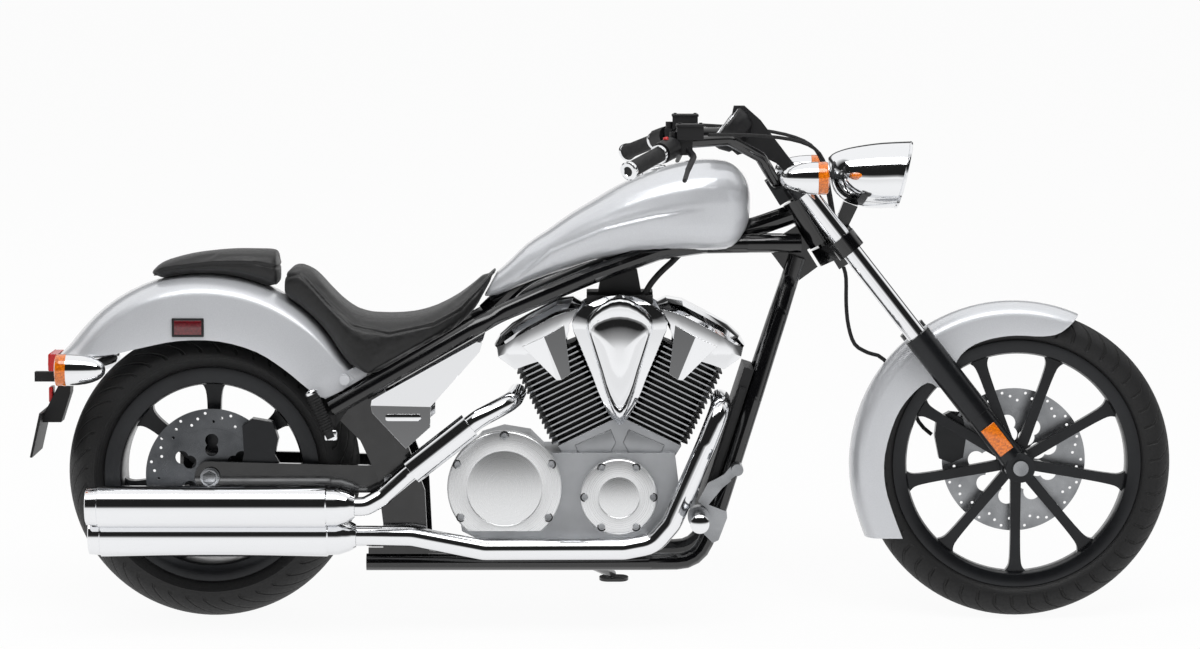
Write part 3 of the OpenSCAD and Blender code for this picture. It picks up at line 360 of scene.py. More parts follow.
def moulded_plastic(name="moulded_plastic", code="#101012", low=0.42, high=0.56):
    # Injection-moulded ABS with a fine spark-eroded grain
    material, tree, shader = surface(name, code, 0.0, 0.5)
    spot = in_piece(tree)
    pits = grain(tree, spot, 1.1)
    roughness_from(tree, shader, pits, low, high)
    normals_from(tree, shader, bump(tree, pits, 0.05, worn_edges(tree, 1.0), 0.5))
    return material


def soft_rubber():
    # Moulded rubber: dull black with a dry bloom
    material, tree, shader = surface("soft_rubber", "#19191A", 0.0, 0.68)
    spot = in_piece(tree)
    colours_from(tree, shader, grain(tree, spot, 12), "#141415", "#1F1F20")
    roughness_from(tree, shader, grain(tree, spot, 3), 0.6, 0.76)
    return material


def seat_leather():
    # Dyed hide over foam: pebbled grain that catches a broad soft highlight
    hide = finishes().leather
    material, tree, shader = surface("seat_leather", hide, 0.0, 0.46, sheen_weight=0.1, specular_level=0.5)
    spot = in_piece(tree)
    # Pebbles are about 0.9 mm on real hide and 1.6 mm here, so that they show
    pebble = cells(tree, spot, 1.6)
    creases = grain(tree, spot, 9, 4.0)
    colours_from(tree, shader, creases, shade(hide, 0.8), shade(hide, 1.3))
    roughness_from(tree, shader, creases, 0.4, 0.54)
    fine = bump(tree, pebble, 0.22, None, 0.55)
    normals_from(tree, shader, bump(tree, creases, 0.3, fine, 0.3))
    return material


def moulded_lens(name, code):
    # Dyed acrylic lens: clear gloss over small prisms
    material, tree, shader = surface(
        name, code, 0.0, 0.12, coat_weight=1.0, coat_roughness=0.03, specular_level=0.5
    )
    prisms = cells(tree, in_piece(tree), 4.5, distance="CHEBYCHEV")
    # Each prism is painted lighter at its middle and darker towards its edges: painted glint and shade of the prisms
    colours_from(tree, shader, prisms, shade(code, 1.12), shade(code, 0.8), 0.1, 0.7)
    normals_from(tree, shader, bump(tree, prisms, 0.4, None, 0.5))
    return material


def clear_glass():
    material, _, _ = surface("clear_glass", "#F4F6F8", 0.0, 0.02, transmission_weight=1.0, ior=1.49)
    return material


def tyre_rubber(name, centre, turn, radius, grooves):
    """Tyre tread and sidewall, on the wheel's own axis."""
    # Vulcanised rubber: matt tread with slanted grooves, finer mould rings on the sidewall
    material, tree, shader = surface(name, finishes().rubber, 0.0, 0.6)
    spot = in_piece(tree, centre, turn)
    parts = add(tree, "SeparateXYZ", {"Vector": spot})
    x, y, z = (parts.outputs[k] for k in "XYZ")

    def work(operation, first, second=0.0):
        """One sum; second is a socket or a number."""
        linked = isinstance(second, bpy.types.NodeSocket)
        links = {0: first, 1: second} if linked else {0: first}
        return add(tree, "Math", links, {} if linked else {1: second}, operation=operation).outputs["Value"]

    flat = add(tree, "CombineXYZ", {"X": x, "Y": z}).outputs["Vector"]
    reach = add(tree, "VectorMath", {0: flat}, operation="LENGTH").outputs["Value"]
    off_crown = work("ABSOLUTE", y)
    # Grooves slant back from the middle, and those of one side stand between those of the other
    around = work("DIVIDE", work("ARCTAN2", z, x), 2 * math.pi / grooves)
    slant = work("MULTIPLY", off_crown, 34.0)
    way = work("MULTIPLY", work("SIGN", y), 0.25)
    phase = work("FRACT", work("ADD", work("ADD", around, slant), way))
    groove = span(tree, work("ABSOLUTE", work("SUBTRACT", phase, 0.5)), 0.05, 0.11)
    # They run from the middle rib to the shoulder
    shoulder = span(tree, reach, radius - 0.052, radius - 0.044)
    centre_rib = span(tree, off_crown, 0.010, 0.013)
    mask = work("MULTIPLY", shoulder, centre_rib)
    tread = work("SUBTRACT", work("MULTIPLY", work("SUBTRACT", groove, 1.0), mask), -1.0)
    # One groove runs round the tyre on each side of the middle
    line = span(tree, work("ABSOLUTE", work("SUBTRACT", off_crown, 0.012)), 0.0012, 0.0024)
    tread = work("MULTIPLY", tread, work("MAXIMUM", line, span(tree, reach, radius - 0.01, radius - 0.02)))
    side = span(tree, reach, radius - 0.05, radius - 0.058)
    mould = work("MULTIPLY", work("MULTIPLY", rings(tree, reach, 260.0, 1.0), side), 0.12)
    # The grooves are painted darker than the tread: painted shade in the recesses, #050505 in a groove and the
    # rubber's own colour elsewhere
    colours_from(tree, shader, tread, "#050505", finishes().rubber, 0.1, 0.7)
    roughness_from(tree, shader, grain(tree, spot, 5), 0.52, 0.68)
    normals_from(tree, shader, bump(tree, work("ADD", tread, mould), 5.0))
    return material


# ---- Shapes ----


def facing(at, axis):
    """Matrix that stands a shape drawn along Z on a point, along an axis."""
    return Matrix.Translation(Vector(at)) @ Vector(axis).to_track_quat("Z", "Y").to_matrix().to_4x4()


def finished(name, bm, body, slot, materials, angle=32, place=PARKED):
    """Turns a bmesh into a piece of the machine: placed, closed, shaded and riding on its body."""
    bmesh.ops.remove_doubles(bm, verts=bm.verts, dist=0.002)
    bm.transform(place)
    bmesh.ops.recalc_face_normals(bm, faces=bm.faces)
    mesh = bpy.data.meshes.new(name)
    bm.to_mesh(mesh)
    bm.free()
    return shown(name, mesh, body, materials, angle)


def shown(name, mesh, body, materials, angle=32):
    """Shows a mesh as a piece that rides on a body."""
    mesh.polygons.foreach_set("use_smooth", [True] * len(mesh.polygons))
    mesh.set_sharp_from_angle(angle=math.radians(angle))
    piece = bpy.data.objects.new(name, mesh)
    bpy.context.scene.collection.objects.link(piece)
    for material in materials if isinstance(materials, list) else [materials]:
        mesh.materials.append(material)
    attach(piece, body)
    return piece


def lathe(bm, profile, place, steps=48, material=0):
    """Spins a profile of (radius, height) pairs round Z, then places it."""
    known = set(bm.faces)
    points = [bm.verts.new((r, 0, h)) for r, h in profile]
    edges = [bm.edges.new(pair) for pair in zip(points, points[1:])]
    bmesh.ops.spin(
        bm, geom=points + edges, cent=(0, 0, 0), axis=(0, 0, 1), dvec=(0, 0, 0),
        angle=2 * math.pi, steps=steps, use_merge=True, use_duplicate=False,
    )
    verts = list({v for f in bm.faces if f not in known for v in f.verts})
    bmesh.ops.remove_doubles(bm, verts=verts, dist=0.001)
    faces = [f for f in bm.faces if f not in known]
    bmesh.ops.transform(bm, matrix=place, verts=list({v for f in faces for v in f.verts}))
    for face in faces:
        face.material_index = material


def round_edges(bm, edges, radius, segments=2):
    bmesh.ops.bevel(
        bm, geom=list(edges), offset=radius, segments=segments, profile=0.5, affect="EDGES", material=-1
    )


def walls(bm, first, second, open_side=None):
    """Faces between two closed rings of points, apart from one side that stays open."""
    for k in range(len(first)):
        if k != open_side:
            bm.faces.new((first[k - 1], first[k], second[k], second[k - 1]))


def loft(bm, rows):
    """Closed skin over rings of points."""
    for first, second in zip(rows, rows[1:]):
        walls(bm, first, second)
    for end in (rows[0], rows[-1]):
        bm.faces.new(end)


def socket_bolt(bm, at, axis, r, h):
    """Cap screw with a chamfered head and a round socket."""
    head = [(0, 0), (r, 0), (r, 0.8 * h), (0.86 * r, h), (0.55 * r, h), (0.52 * r, 0.45 * h), (0, 0.45 * h)]
    lathe(bm, head, facing(at, axis), 18)


def hex_bolt(bm, at, axis, r, h):
    """Hexagon head with its washer face."""
    washer = [(0, 0), (1.25 * r, 0), (1.25 * r, 0.14 * h), (r, 0.16 * h), (0, 0.16 * h)]
    lathe(bm, washer, facing(at, axis), 24)
    head = bmesh.ops.create_cone(
        bm, cap_ends=True, segments=6, radius1=r * 1.1, radius2=r * 1.02, depth=0.84 * h,
        matrix=facing(at, axis) @ Matrix.Translation((0, 0, 0.56 * h)),
    )
    round_edges(bm, {e for v in head["verts"] for e in v.link_edges}, 0.08 * r)


def block(bm, low, high, radius):
    """Box between two opposite corners, in any order, with its edges rounded."""
    low, high = Vector(tuple(map(min, low, high))), Vector(tuple(map(max, low, high)))
    stretch = Matrix.Diagonal((*(high - low), 1))
    made = bmesh.ops.create_cube(bm, size=1.0, matrix=Matrix.Translation((low + high) / 2) @ stretch)
    round_edges(bm, {e for v in made["verts"] for e in v.link_edges}, radius, 3)


def turned_piece(name, profile, place, steps, *riding):
    """A piece that is one turned profile; riding is its body, slot and material, and the slot is not used."""
    bm = bmesh.new()
    lathe(bm, profile, place, steps)
    finished(name, bm, *riding)


def block_piece(name, low, high, radius, *riding):
    """A piece that is one rounded box; riding is its body, slot and material, and the slot is not used."""
    bm = bmesh.new()
    block(bm, low, high, radius)
    finished(name, bm, *riding)


def off_line(line, place):
    """Height of a place above a line of (x, z) points, square to it, or None past its ends."""
    for (x0, z0), (x1, z1) in zip(line, line[1:]):
        if x0 <= place.x < x1:
            slope = (z1 - z0) / (x1 - x0)
            return (place.z - z0 - slope * (place.x - x0)) / math.sqrt(1 + slope * slope)
    return None


def smooth_step(t):
    t = min(1.0, max(0.0, t))
    return t * t * (3 - 2 * t)


def wire(name, points, r, material, order=3):
    """Smooth round wire, pipe or hose through points of the upright machine."""
    curve = bpy.data.curves.new(name, "CURVE")
    curve.dimensions = "3D"
    curve.bevel_depth = r * MM
    curve.bevel_resolution = 3
    curve.resolution_u = 6
    curve.use_fill_caps = True
    spline = curve.splines.new("NURBS")
    spline.points.add(len(points) - 1)
    for point, place in zip(spline.points, points):
        point.co = (*(PARKED @ Vector(place)), 1.0)
    spline.order_u = order
    spline.use_endpoint_u = True
    drawn = bpy.data.objects.new(name + "_curve", curve)
    bpy.context.scene.collection.objects.link(drawn)
    bpy.context.view_layer.update()
    mesh = bpy.data.meshes.new_from_object(drawn.evaluated_get(bpy.context.evaluated_depsgraph_get()))
    bpy.data.objects.remove(drawn)
    mesh.name = name
    return shown(name, mesh, "frame", material, 40)


def evaluated_copy(name, mesh, modifiers):
    """The mesh that a stack of modifiers gives; modifiers is a list of (type, settings)."""
    holder = bpy.data.objects.new(name, mesh)
    bpy.context.scene.collection.objects.link(holder)
    for kind, settings in modifiers:
        made = holder.modifiers.new(kind, kind)
        for key, value in settings.items():
            setattr(made, key, value)
    bpy.context.view_layer.update()
    result = bpy.data.meshes.new_from_object(holder.evaluated_get(bpy.context.evaluated_depsgraph_get()))
    bpy.data.objects.remove(holder)
    return result


def evened(name, node, voxel_mm, rounds, shrink=0.0):
    """A CAD node's mesh drawn in by some millimetres, remeshed evenly and smoothed."""
    bm = bmesh.new()
    bm.from_mesh(frame["nodes"][node].data)
    bmesh.ops.remove_doubles(bm, verts=bm.verts, dist=1e-5)
    if shrink:
        bmesh.ops.recalc_face_normals(bm, faces=bm.faces)
        bm.normal_update()
        for vertex in bm.verts:
            vertex.co -= vertex.normal * shrink * MM
    mesh = bpy.data.meshes.new(name)
    bm.to_mesh(mesh)
    bm.free()
    remesh = ("REMESH", {"mode": "VOXEL", "voxel_size": voxel_mm * MM})
    return evaluated_copy(name, mesh, [remesh, ("SMOOTH", {"factor": 0.5, "iterations": rounds})])


def dress(names, material, angle=30):
    """Gives CAD nodes their material and smooth shading that stays hard at their edges."""
    for name in names.split():
        node = frame["nodes"][name]
        node.data.materials.clear()
        node.data.materials.append(material)
        if "custom_normal" in node.data.attributes:
            node.data.attributes.remove(node.data.attributes["custom_normal"])
        node.data.polygons.foreach_set("use_smooth", [True] * len(node.data.polygons))
        weld = node.modifiers.new("Join", "WELD")
        weld.merge_threshold = 1e-5
        split = node.modifiers.new("Hard edges", "EDGE_SPLIT")
        split.split_angle = math.radians(angle)


def finish_named(name, make, *details):
    """A material that is made once and shared."""
    return bpy.data.materials.get(name) or make(*details)


def enamel():
    return finish_named("gloss_enamel", gloss_enamel)


def chrome():
    return finish_named("chrome_plate", chrome_plate)


def alloy():
    return finish_named("cast_alloy", cast_alloy)


def plastic():
    return finish_named("moulded_plastic", moulded_plastic)


def rubber():
    return finish_named("soft_rubber", soft_rubber)


def leather():
    return finish_named("seat_leather", seat_leather)


def lacquer():
    return finish_named("pearl_lacquer", pearl_lacquer)


def steel():
    return finish_named("ground_steel", ground_steel)


def amber_lens():
    return finish_named("amber_lens", moulded_lens, "amber_lens", finishes().amber)


def red_lens():
    return finish_named("red_lens", moulded_lens, "red_lens", finishes().red)


def deep_red_lens():
    return finish_named("deep_red_lens", moulded_lens, "deep_red_lens", "#64101A")


def turn_about():
    """Turn that stands Z of a pattern on the machine's left-right axis."""
    return (PARKED.to_3x3().normalized() @ Matrix.Rotation(math.radians(90), 3, "X")).to_euler()


# ---- Pieces ----


class PaintedFrame(bpy.types.Operator):
    """Black enamel on the frame, the swingarm, the lower clamp and the bars, and the dark wheel coat on the calipers
    and the upper clamp
    """

    bl_idname = "cruiser.painted_frame"
    bl_label = "Frame in enamel"

    def execute(self, context):
        dress(
            "steering_head backbone upper_rails cradle_left cradle_right pivot_plates swingarm final_drive "
            "handlebar steering_stem headlight_bracket side_stand",
            enamel(),
        )
        dress("rear_caliper front_caliper upper_clamp", finish_named("wheel_coat", wheel_coat))
        return {"FINISHED"}


class LacqueredTank(bpy.types.Operator):
    """Fuel tank with its sculpted flank, and the filler cap"""

    bl_idname = "cruiser.lacquered_tank"
    bl_label = "Tank and fenders in lacquer"

    # The ridge along each flank as (x, z), and the half width of the top that stays untouched
    CREASE = (
        (560, 660), (621, 708), (690, 775), (756, 834), (873, 885), (976, 911), (1071, 926), (1210, 930),
    )
    TOP_HALF = 34

    def execute(self, context):
        dress("rear_fender front_fender", lacquer(), 40)
        fine = evened("tank_shell", "fuel_tank", 4, 8)
        self.sculpt(fine)
        tank = shown("tank_shell", fine, "frame", lacquer(), 60)
        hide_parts("fuel_tank")
        cap = [(0, -6), (32, -6), (32, 4), (30, 6.5), (27, 7.5), (24, 7.5), (22, 9), (8, 11), (0, 11.4)]
        seat = facing((985, 0, 1006), (-0.16, 0, 1))
        turned_piece("filler_cap", cap, seat, 64, "frame", "chrome", chrome())
        return {"FINISHED"}

    def sculpt(self, mesh):
        """Presses the hollow below the ridge that runs up each flank."""
        upright = PARKED.inverted()
        across = (PARKED.to_3x3() @ Vector((0, 1, 0))).normalized()
        for vertex in mesh.vertices:
            place = upright @ vertex.co
            above = off_line(self.CREASE, place)
            out = abs(place.y) - self.TOP_HALF
            if above is None or out < 0:
                continue
            fade = smooth_step((place.x - 630) / 110) * (1 - smooth_step((place.x - 960) / 150))
            fade *= smooth_step(out / 30)
            hollow = smooth_step((2 - above) / 9) * (1 - smooth_step((-above - 12) / 52))
            ridge = math.exp(-((6 - above) / 9) ** 2)
            vertex.co += across * math.copysign(fade * (1.6 * ridge - 6.5 * hollow) * MM, place.y)


class EngineFinishes(bpy.types.Operator):
    """Cast cases, black fins with machined rims, and the intake box and radiator in black plastic"""

    bl_idname = "cruiser.engine_finishes"
    bl_label = "Engine"

    def execute(self, context):
        dress("crankcase", alloy())
        dress("cylinders", moulded_plastic("fin_paint", "#0C0C0D", 0.45, 0.6), 20)
        self.machine_rims(frame["nodes"]["cylinders"].data)
        dress("intake_box radiator", plastic())
        return {"FINISHED"}

    # Half angle of the V, and the fins' half width, outer and inner edges from the bank's middle
    BANK = math.radians(26)
    FIN_HALF = 72
    FIN_OUTER = 71
    FIN_INNER = -63

    def machine_rims(self, mesh):
        """Bare metal on the outer edges of the painted fins."""
        bare, _, _ = surface("machined_rim", "#BFC1C4", 1.0, 0.3)
        mesh.materials.append(bare)
        upright = PARKED.inverted()
        turn = upright.to_3x3().normalized()
        for face in mesh.polygons:
            if self.on_fin_rim(upright @ face.center, turn @ face.normal):
                face.material_index = 1

    def on_fin_rim(self, place, normal):
        way = 1 if place.x > ENGINE_X else -1
        up = Vector((way * math.sin(self.BANK), 0, math.cos(self.BANK)))
        out = Vector((way * math.cos(self.BANK), 0, -math.sin(self.BANK)))
        local = place - Vector((ENGINE_X, 0, CRANK_Z))
        reach = local.dot(out)
        at_rim = abs(local.y) > self.FIN_HALF or reach > self.FIN_OUTER or reach < self.FIN_INNER
        return at_rim and abs(normal.dot(up)) < 0.3


class ChromeWork(bpy.types.Operator):
    """Chrome on the pipes, mufflers, fork tubes and lamp shells, and ground steel on the pedals"""

    bl_idname = "cruiser.chrome_work"
    bl_label = "Chrome"

    def execute(self, context):
        dress("exhaust_pipes mufflers fork_tubes headlight rear_signals front_signals", chrome(), 34)
        dress("foot_controls", steel())
        return {"FINISHED"}


class WheelFinishes(bpy.types.Operator):
    """Coated wheels, steel discs and grooved tyres"""

    bl_idname = "cruiser.wheel_finishes"
    bl_label = "Wheels and tyres"

    def execute(self, context):
        dress("rear_rim front_rim fork_sliders", finish_named("wheel_coat", wheel_coat), 26)
        dress("front_disc rear_axle front_axle", steel())
        dress("rear_disc", finish_named("disc_steel", ground_steel, "disc_steel", "#56585B", "#6C6E71"))
        grooves = sizes().groove_count
        turn = PARKED.to_3x3().normalized().to_euler()
        # Each axle is as high as its tyre's radius
        for name, axle, count in (("rear_tyre", REAR_AXLE, grooves), ("front_tyre", FRONT_AXLE, grooves + 6)):
            dress(name, tyre_rubber(name + "_rubber", PARKED @ axle, turn, axle.z * MM, count), 40)
        return {"FINISHED"}


class DarkTrim(bpy.types.Operator):
    """Rubber and plastic parts"""

    bl_idname = "cruiser.dark_trim"
    bl_label = "Rubber and plastic"

    def execute(self, context):
        dress("grips passenger_pegs brake_hose control_cables", rubber())
        dress("hand_controls instrument_pod plate_bracket", plastic())
        dress("tail_light", red_lens())
        return {"FINISHED"}


class Seats(bpy.types.Operator):
    """Both seats: padded hide with welted seams"""

    bl_idname = "cruiser.seats"
    bl_label = "Seats"

    def execute(self, context):
        self.pad("rider_cushion", "rider_seat", 4.0, 5.0)
        self.pad("passenger_cushion", "passenger_seat", 3.5, 4.5)
        return {"FINISHED"}

    FRAMES = 20
    # Seam between the top panel and the side panel, as (x, z)
    SEAMS = {
        "rider_seat": (
            (164, 770), (200, 778), (262, 712), (320, 664), (400, 648),
            (500, 668), (560, 700), (600, 742), (640, 780),
        ),
        "passenger_seat": ((-140, 770), (-100, 786), (0, 800), (100, 800), (150, 790)),
    }

    def pad(self, name, node, shrink, cap):
        """Cover over the foam: shrink is the room it starts with, cap how far it may swell."""
        padded = evened(name, node, 5, 6, shrink)
        padded = self.swell(name, padded, cap)
        fine = evaluated_copy(name, padded, [("SUBSURF", {"levels": 1, "render_levels": 1})])
        self.sew(fine, self.SEAMS[node])
        cushion = shown(name, fine, "frame", leather(), 60)
        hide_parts(node)

    def swell(self, name, mesh, cap):
        """Blows the cover up like foam under hide, and holds each point near its start."""
        holder = bpy.data.objects.new(name + "_sim", mesh)
        scene = bpy.context.scene
        scene.collection.objects.link(holder)
        start = [v.co.copy() for v in mesh.vertices]
        cloth = holder.modifiers.new("Cloth", "CLOTH")
        cloth.settings.quality = 5
        cloth.settings.use_pressure = True
        cloth.settings.uniform_pressure_force = 4.0
        cloth.settings.effector_weights.gravity = 0.0
        cloth.point_cache.frame_start = 1
        cloth.point_cache.frame_end = self.FRAMES
        for step in range(self.FRAMES):
            scene.frame_set(step + 1)
        blown = holder.evaluated_get(bpy.context.evaluated_depsgraph_get())
        moved = [v.co.copy() for v in blown.to_mesh().vertices]
        blown.to_mesh_clear()
        result = mesh.copy()
        for vertex, at, to in zip(result.vertices, start, moved):
            step = to - at
            if step.length > cap * MM:
                step = step.normalized() * cap * MM
            vertex.co = at + step
        bpy.data.objects.remove(holder)
        scene.frame_set(1)
        return result

    def sew(self, mesh, seam):
        """Presses a seam into the cover, with a low welt above it."""
        upright = PARKED.inverted()
        mesh.update()
        normals = [v.normal.copy() for v in mesh.vertices]
        for vertex, normal in zip(mesh.vertices, normals):
            above = off_line(seam, upright @ vertex.co)
            if above is not None:
                groove = math.exp(-((above / 2.6) ** 2)) - 0.45 * math.exp(-(((above - 6) / 3.2) ** 2))
                vertex.co -= normal * sizes().seam * groove * MM


class RoundCovers(bpy.types.Operator):
    """Round engine covers: a flat turned ring round a crowned middle"""

    bl_idname = "cruiser.round_covers"
    bl_label = "Round engine covers"

    # Node, hand, and each cover's middle, radius, inner radius, height and lowest point
    COVERS = (
        ("right_engine_covers", -1, ((655.5, 305, 127.4, 83.5, 45, 209), (910, 284, 85.5, 45.5, 40, 0))),
        ("left_engine_covers", 1, ((912, 285, 96, 56, 42, 0), (690, 300, 92, 52, 34, 0))),
    )
    CASE_HALF = 118.3

    def execute(self, context):
        for node, side, covers in self.COVERS:
            for count, cover in enumerate(covers):
                piece = self.cover(f"{node[:-1]}_{count}", side, *cover)
                if count == 0:
                    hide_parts(node)
        return {"FINISHED"}

    def cover(self, name, side, x, z, r, inner, h, lowest):
        middle = Vector((x, side * self.CASE_HALF, z))
        place = facing(middle, (0, side, 0))
        floor = 0.65 * h
        ring = [
            (0, 0), (r, 0), (r, 0.52 * h), (r - 0.8, 0.58 * h), (r - 3, 0.62 * h), (r - 8, 0.645 * h),
            (inner + 2.5, 0.70 * h), (inner + 1.2, 0.695 * h), (inner, floor),
        ]
        # The middle is a shallow cap of a sphere, so its shine runs from dark above to white below
        rise = 0.07 * inner
        cap = [(inner * k / 8, floor + rise * (1 - (k / 8) ** 2)) for k in range(8, -1, -1)]
        bm = bmesh.new()
        lathe(bm, ring, place, 128, 0)
        lathe(bm, cap, place, 128, 1)
        if lowest:
            self.cut_flat(bm, lowest)
        centre = PARKED @ middle
        faces = [
            turned_alloy(name + "_ring", centre, turn_about(), 0.7),
            turned_alloy(name + "_cap", centre, turn_about(), 0.95),
        ]
        return finished(name, bm, "frame", "satin_alloy", faces, 24)

    def cut_flat(self, bm, lowest):
        """Cuts a cover off below a height and closes it there."""
        kept = bm.verts[:] + bm.edges[:] + bm.faces[:]
        cut = bmesh.ops.bisect_plane(
            bm, geom=kept, plane_co=(0, 0, lowest), plane_no=(0, 0, -1), clear_outer=True
        )
        rim = [e for e in cut["geom_cut"] if isinstance(e, bmesh.types.BMEdge)]
        bmesh.ops.contextual_create(bm, geom=rim)


class RockerCovers(bpy.types.Operator):
    """Crowned rocker covers with a belt line and a faceted wedge on each side"""

    bl_idname = "cruiser.rocker_covers"
    bl_label = "Rocker covers"

    # Along the front cover: the crown's edge, the belt's top and bottom, and the lower edge, as (x, z)
    STATIONS = (
        ((994, 710), (1005, 700), (1025, 665), (1025, 652)),
        ((1016, 721), (1032, 693), (1040, 664), (1034, 625)),
        ((1052, 715), (1057, 684), (1060, 653), (1052, 596)),
        ((1101, 690), (1097, 663), (1095, 632), (1083, 586)),
        ((1153, 661), (1137, 641), (1131, 616), (1115, 576)),
        ((1180, 637), (1167, 622), (1161, 602), (1145, 565)),
        ((1192, 616), (1186, 614), (1183, 594), (1177, 588)),
    )
    # The wedge that covers the pushrods: (x, z, distance out)
    WEDGE = (
        (1036, 664, 93.5), (1081, 638, 99), (1129, 616.5, 94),
        (1052, 541, 100), (1042, 543, 104), (1022, 555, 96.5),
    )
    FACETS = ((0, 1, 4, 5), (1, 2, 3), (1, 3, 4))
    WEDGE_BACK = 84

    def execute(self, context):
        bm = bmesh.new()
        for way in SIDES:
            loft(bm, [self.ring(bm, way, *station) for station in self.STATIONS])
            for side in SIDES:
                self.wedge(bm, way, side)
        covers = finished("rocker_trim", bm, "frame", "chrome", chrome(), 14)
        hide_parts("rocker_covers")
        return {"FINISHED"}

    def at(self, way, x, y, z):
        """A place on the front cover, or its mirror image on the rear one."""
        return (ENGINE_X + way * (x - ENGINE_X), y, z)

    def ring(self, bm, way, crown, belt, seam, low):
        """Closed loop across the cover at one station."""
        crown, belt = Vector(crown), Vector(belt)
        half = [
            (*low, 89.5), (*seam, 93), (*belt, 91), (*belt.lerp(crown, 0.3), 84),
            (*belt.lerp(crown, 0.7), 68), (*crown, 44), (crown.x, crown.y + 3, 0),
        ]
        around = half + [(x, z, -out) for x, z, out in reversed(half[:-1])]
        return [bm.verts.new(self.at(way, x, out, z)) for x, z, out in around]

    def wedge(self, bm, way, side):
        """Faceted cover of the pushrods, on one side of one cover."""
        outer = [bm.verts.new(self.at(way, x, side * out, z)) for x, z, out in self.WEDGE]
        inner = [bm.verts.new(self.at(way, x, side * self.WEDGE_BACK, z)) for x, z, _ in self.WEDGE]
        for facet in self.FACETS:
            bm.faces.new([outer[k] for k in facet])
        bm.faces.new(inner)
        walls(bm, outer, inner)


class SideCovers(bpy.types.Operator):
    """Chrome side covers folded along a line, with a bare badge bar on each"""

    bl_idname = "cruiser.side_covers"
    bl_label = "Side covers"

    # Corners of the cover's outer face: (x, z, distance out); the fold runs between the first two
    UPPER = (
        (359, 490, 149.5), (492, 487, 149.5), (525, 525, 151.2), (572, 577, 153.8), (601, 610, 155.2),
        (607, 630, 156.2), (594, 632, 156.4), (383, 515, 150.8), (361, 502, 150.2),
    )
    LOWER = ((492, 487, 149.5), (359, 490, 149.5), (362, 474, 150.8), (437, 394, 157.0), (491, 442, 153.2))
    THICK = 5
    # The badge bar: its height, its face's and its back's distance out, and (x, half height) along it
    BAR_Z = 463
    BAR_FACE = 151.9
    BAR_BACK = 149
    BAR = ((392, 5), (394, 7), (397, 8), (465, 8), (468, 7), (470, 5))

    def execute(self, context):
        bm = bmesh.new()
        for side in SIDES:
            for facet in (self.UPPER, self.LOWER):
                outer = [bm.verts.new((x, side * out, z)) for x, z, out in facet]
                inner = [bm.verts.new((x, side * (out - self.THICK), z)) for x, z, out in facet]
                bm.faces.new(outer)
                bm.faces.new(inner)
                # The two facets share their fold, so nothing closes it
                walls(bm, outer, inner, 1)
        covers = finished("folded_side_covers", bm, "frame", "satin_alloy", chrome(), 1.5)
        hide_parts("side_covers")
        bm = bmesh.new()
        for side in SIDES:
            self.badge_bar(bm, side)
        finished("badge_bars", bm, "frame", "chrome", chrome())
        return {"FINISHED"}

    def badge_bar(self, bm, side):
        """Bar with a round front and rounded ends."""
        rows = []
        for x, half in self.BAR:
            steps = [t / 4 for t in range(-4, 5)]
            front = [(self.BAR_FACE + 1.9 * (half / 8) ** 2 * (1 - t * t), half * t) for t in steps]
            back = [(self.BAR_BACK, half), (self.BAR_BACK, -half)]
            rows.append([bm.verts.new((x, side * out, self.BAR_Z + up)) for out, up in front + back])
        loft(bm, rows)


class Trimmings(bpy.types.Operator):
    """Ribs and caps of the passenger pegs, skirts of the fender, panels of the crankcase and the pedal hub"""

    bl_idname = "cruiser.trimmings"
    bl_label = "Trimmings"

    # Profiles of a peg's rib and cap, and of the pedal's hub
    RIB = ((12, -2.4), (14.6, -1.5), (15, 0), (14.6, 1.5), (12, 2.4))
    CAP = ((12, -4), (14.8, -4), (15, 2), (12.5, 5.5), (0, 7))
    HUB = ((0, 0), (21, 0), (21, 3), (18.5, 6), (11, 9.5), (0, 11))
    # Outlines as (x, z); a panel's x is from the engine's middle
    SKIRT = ((238, 524), (256, 501), (300, 524), (348, 552), (350, 560), (326, 574), (286, 556))
    PANEL = ((-100, 396), (-20, 431), (-8, 402), (-24, 372), (-66, 356), (-86, 366))

    def execute(self, context):
        ribs, caps, skirts, panels, hubs = (bmesh.new() for _ in range(5))
        for side in SIDES:
            self.peg(ribs, caps, side)
            self.plate(skirts, self.SKIRT, side * 113.5, side * 117.2, 0.8)
            for way in SIDES:
                corners = [(ENGINE_X + way * x, z) for x, z in self.PANEL]
                self.plate(panels, corners, side * 95, side * 99.5, 3.0)
            lathe(hubs, self.HUB, facing((1087, side * 290.2, 243), (0, side, 0)))
            rail_end = [(352, side * 143, 526), (310, side * 143, 502), (272, side * 143, 480)]
            wire(f"rail_end_{side}", rail_end, 19.5, enamel(), 2)
        for name, bm, slot, material in (
            ("peg_ribs", ribs, "rubber", rubber()),
            ("peg_caps", caps, "chrome", chrome()),
            ("fender_skirts", skirts, "white_paint", lacquer()),
            ("case_panels", panels, "satin_alloy", alloy()),
            ("pedal_hubs", hubs, "chrome", chrome()),
        ):
            finished(name, bm, "frame", slot, material)
        return {"FINISHED"}

    def peg(self, ribs, caps, side):
        """Rubber ribs along a passenger peg, and metal at its ends."""
        low, high = Vector((272, side * 168.3, 420)), Vector((228, side * 168.3, 520))
        along = (high - low).normalized()
        for step in range(13):
            lathe(ribs, self.RIB, facing(low.lerp(high, 0.18 + 0.058 * step), along), 32)
        lathe(caps, self.CAP, facing(high, along), 40)
        inner, outer = sorted((side * 160, side * 177))
        block(caps, (257, inner, 414), (286, outer, 438), 4)

    def plate(self, bm, corners, first, second, radius):
        """Flat plate with softened edges, between two distances from the middle."""
        inner, outer = ([bm.verts.new((x, y, z)) for x, z in corners] for y in sorted((first, second)))
        ends = [bm.faces.new(inner), bm.faces.new(outer)]
        walls(bm, inner, outer)
        round_edges(bm, {e for f in ends for e in f.edges}, radius)


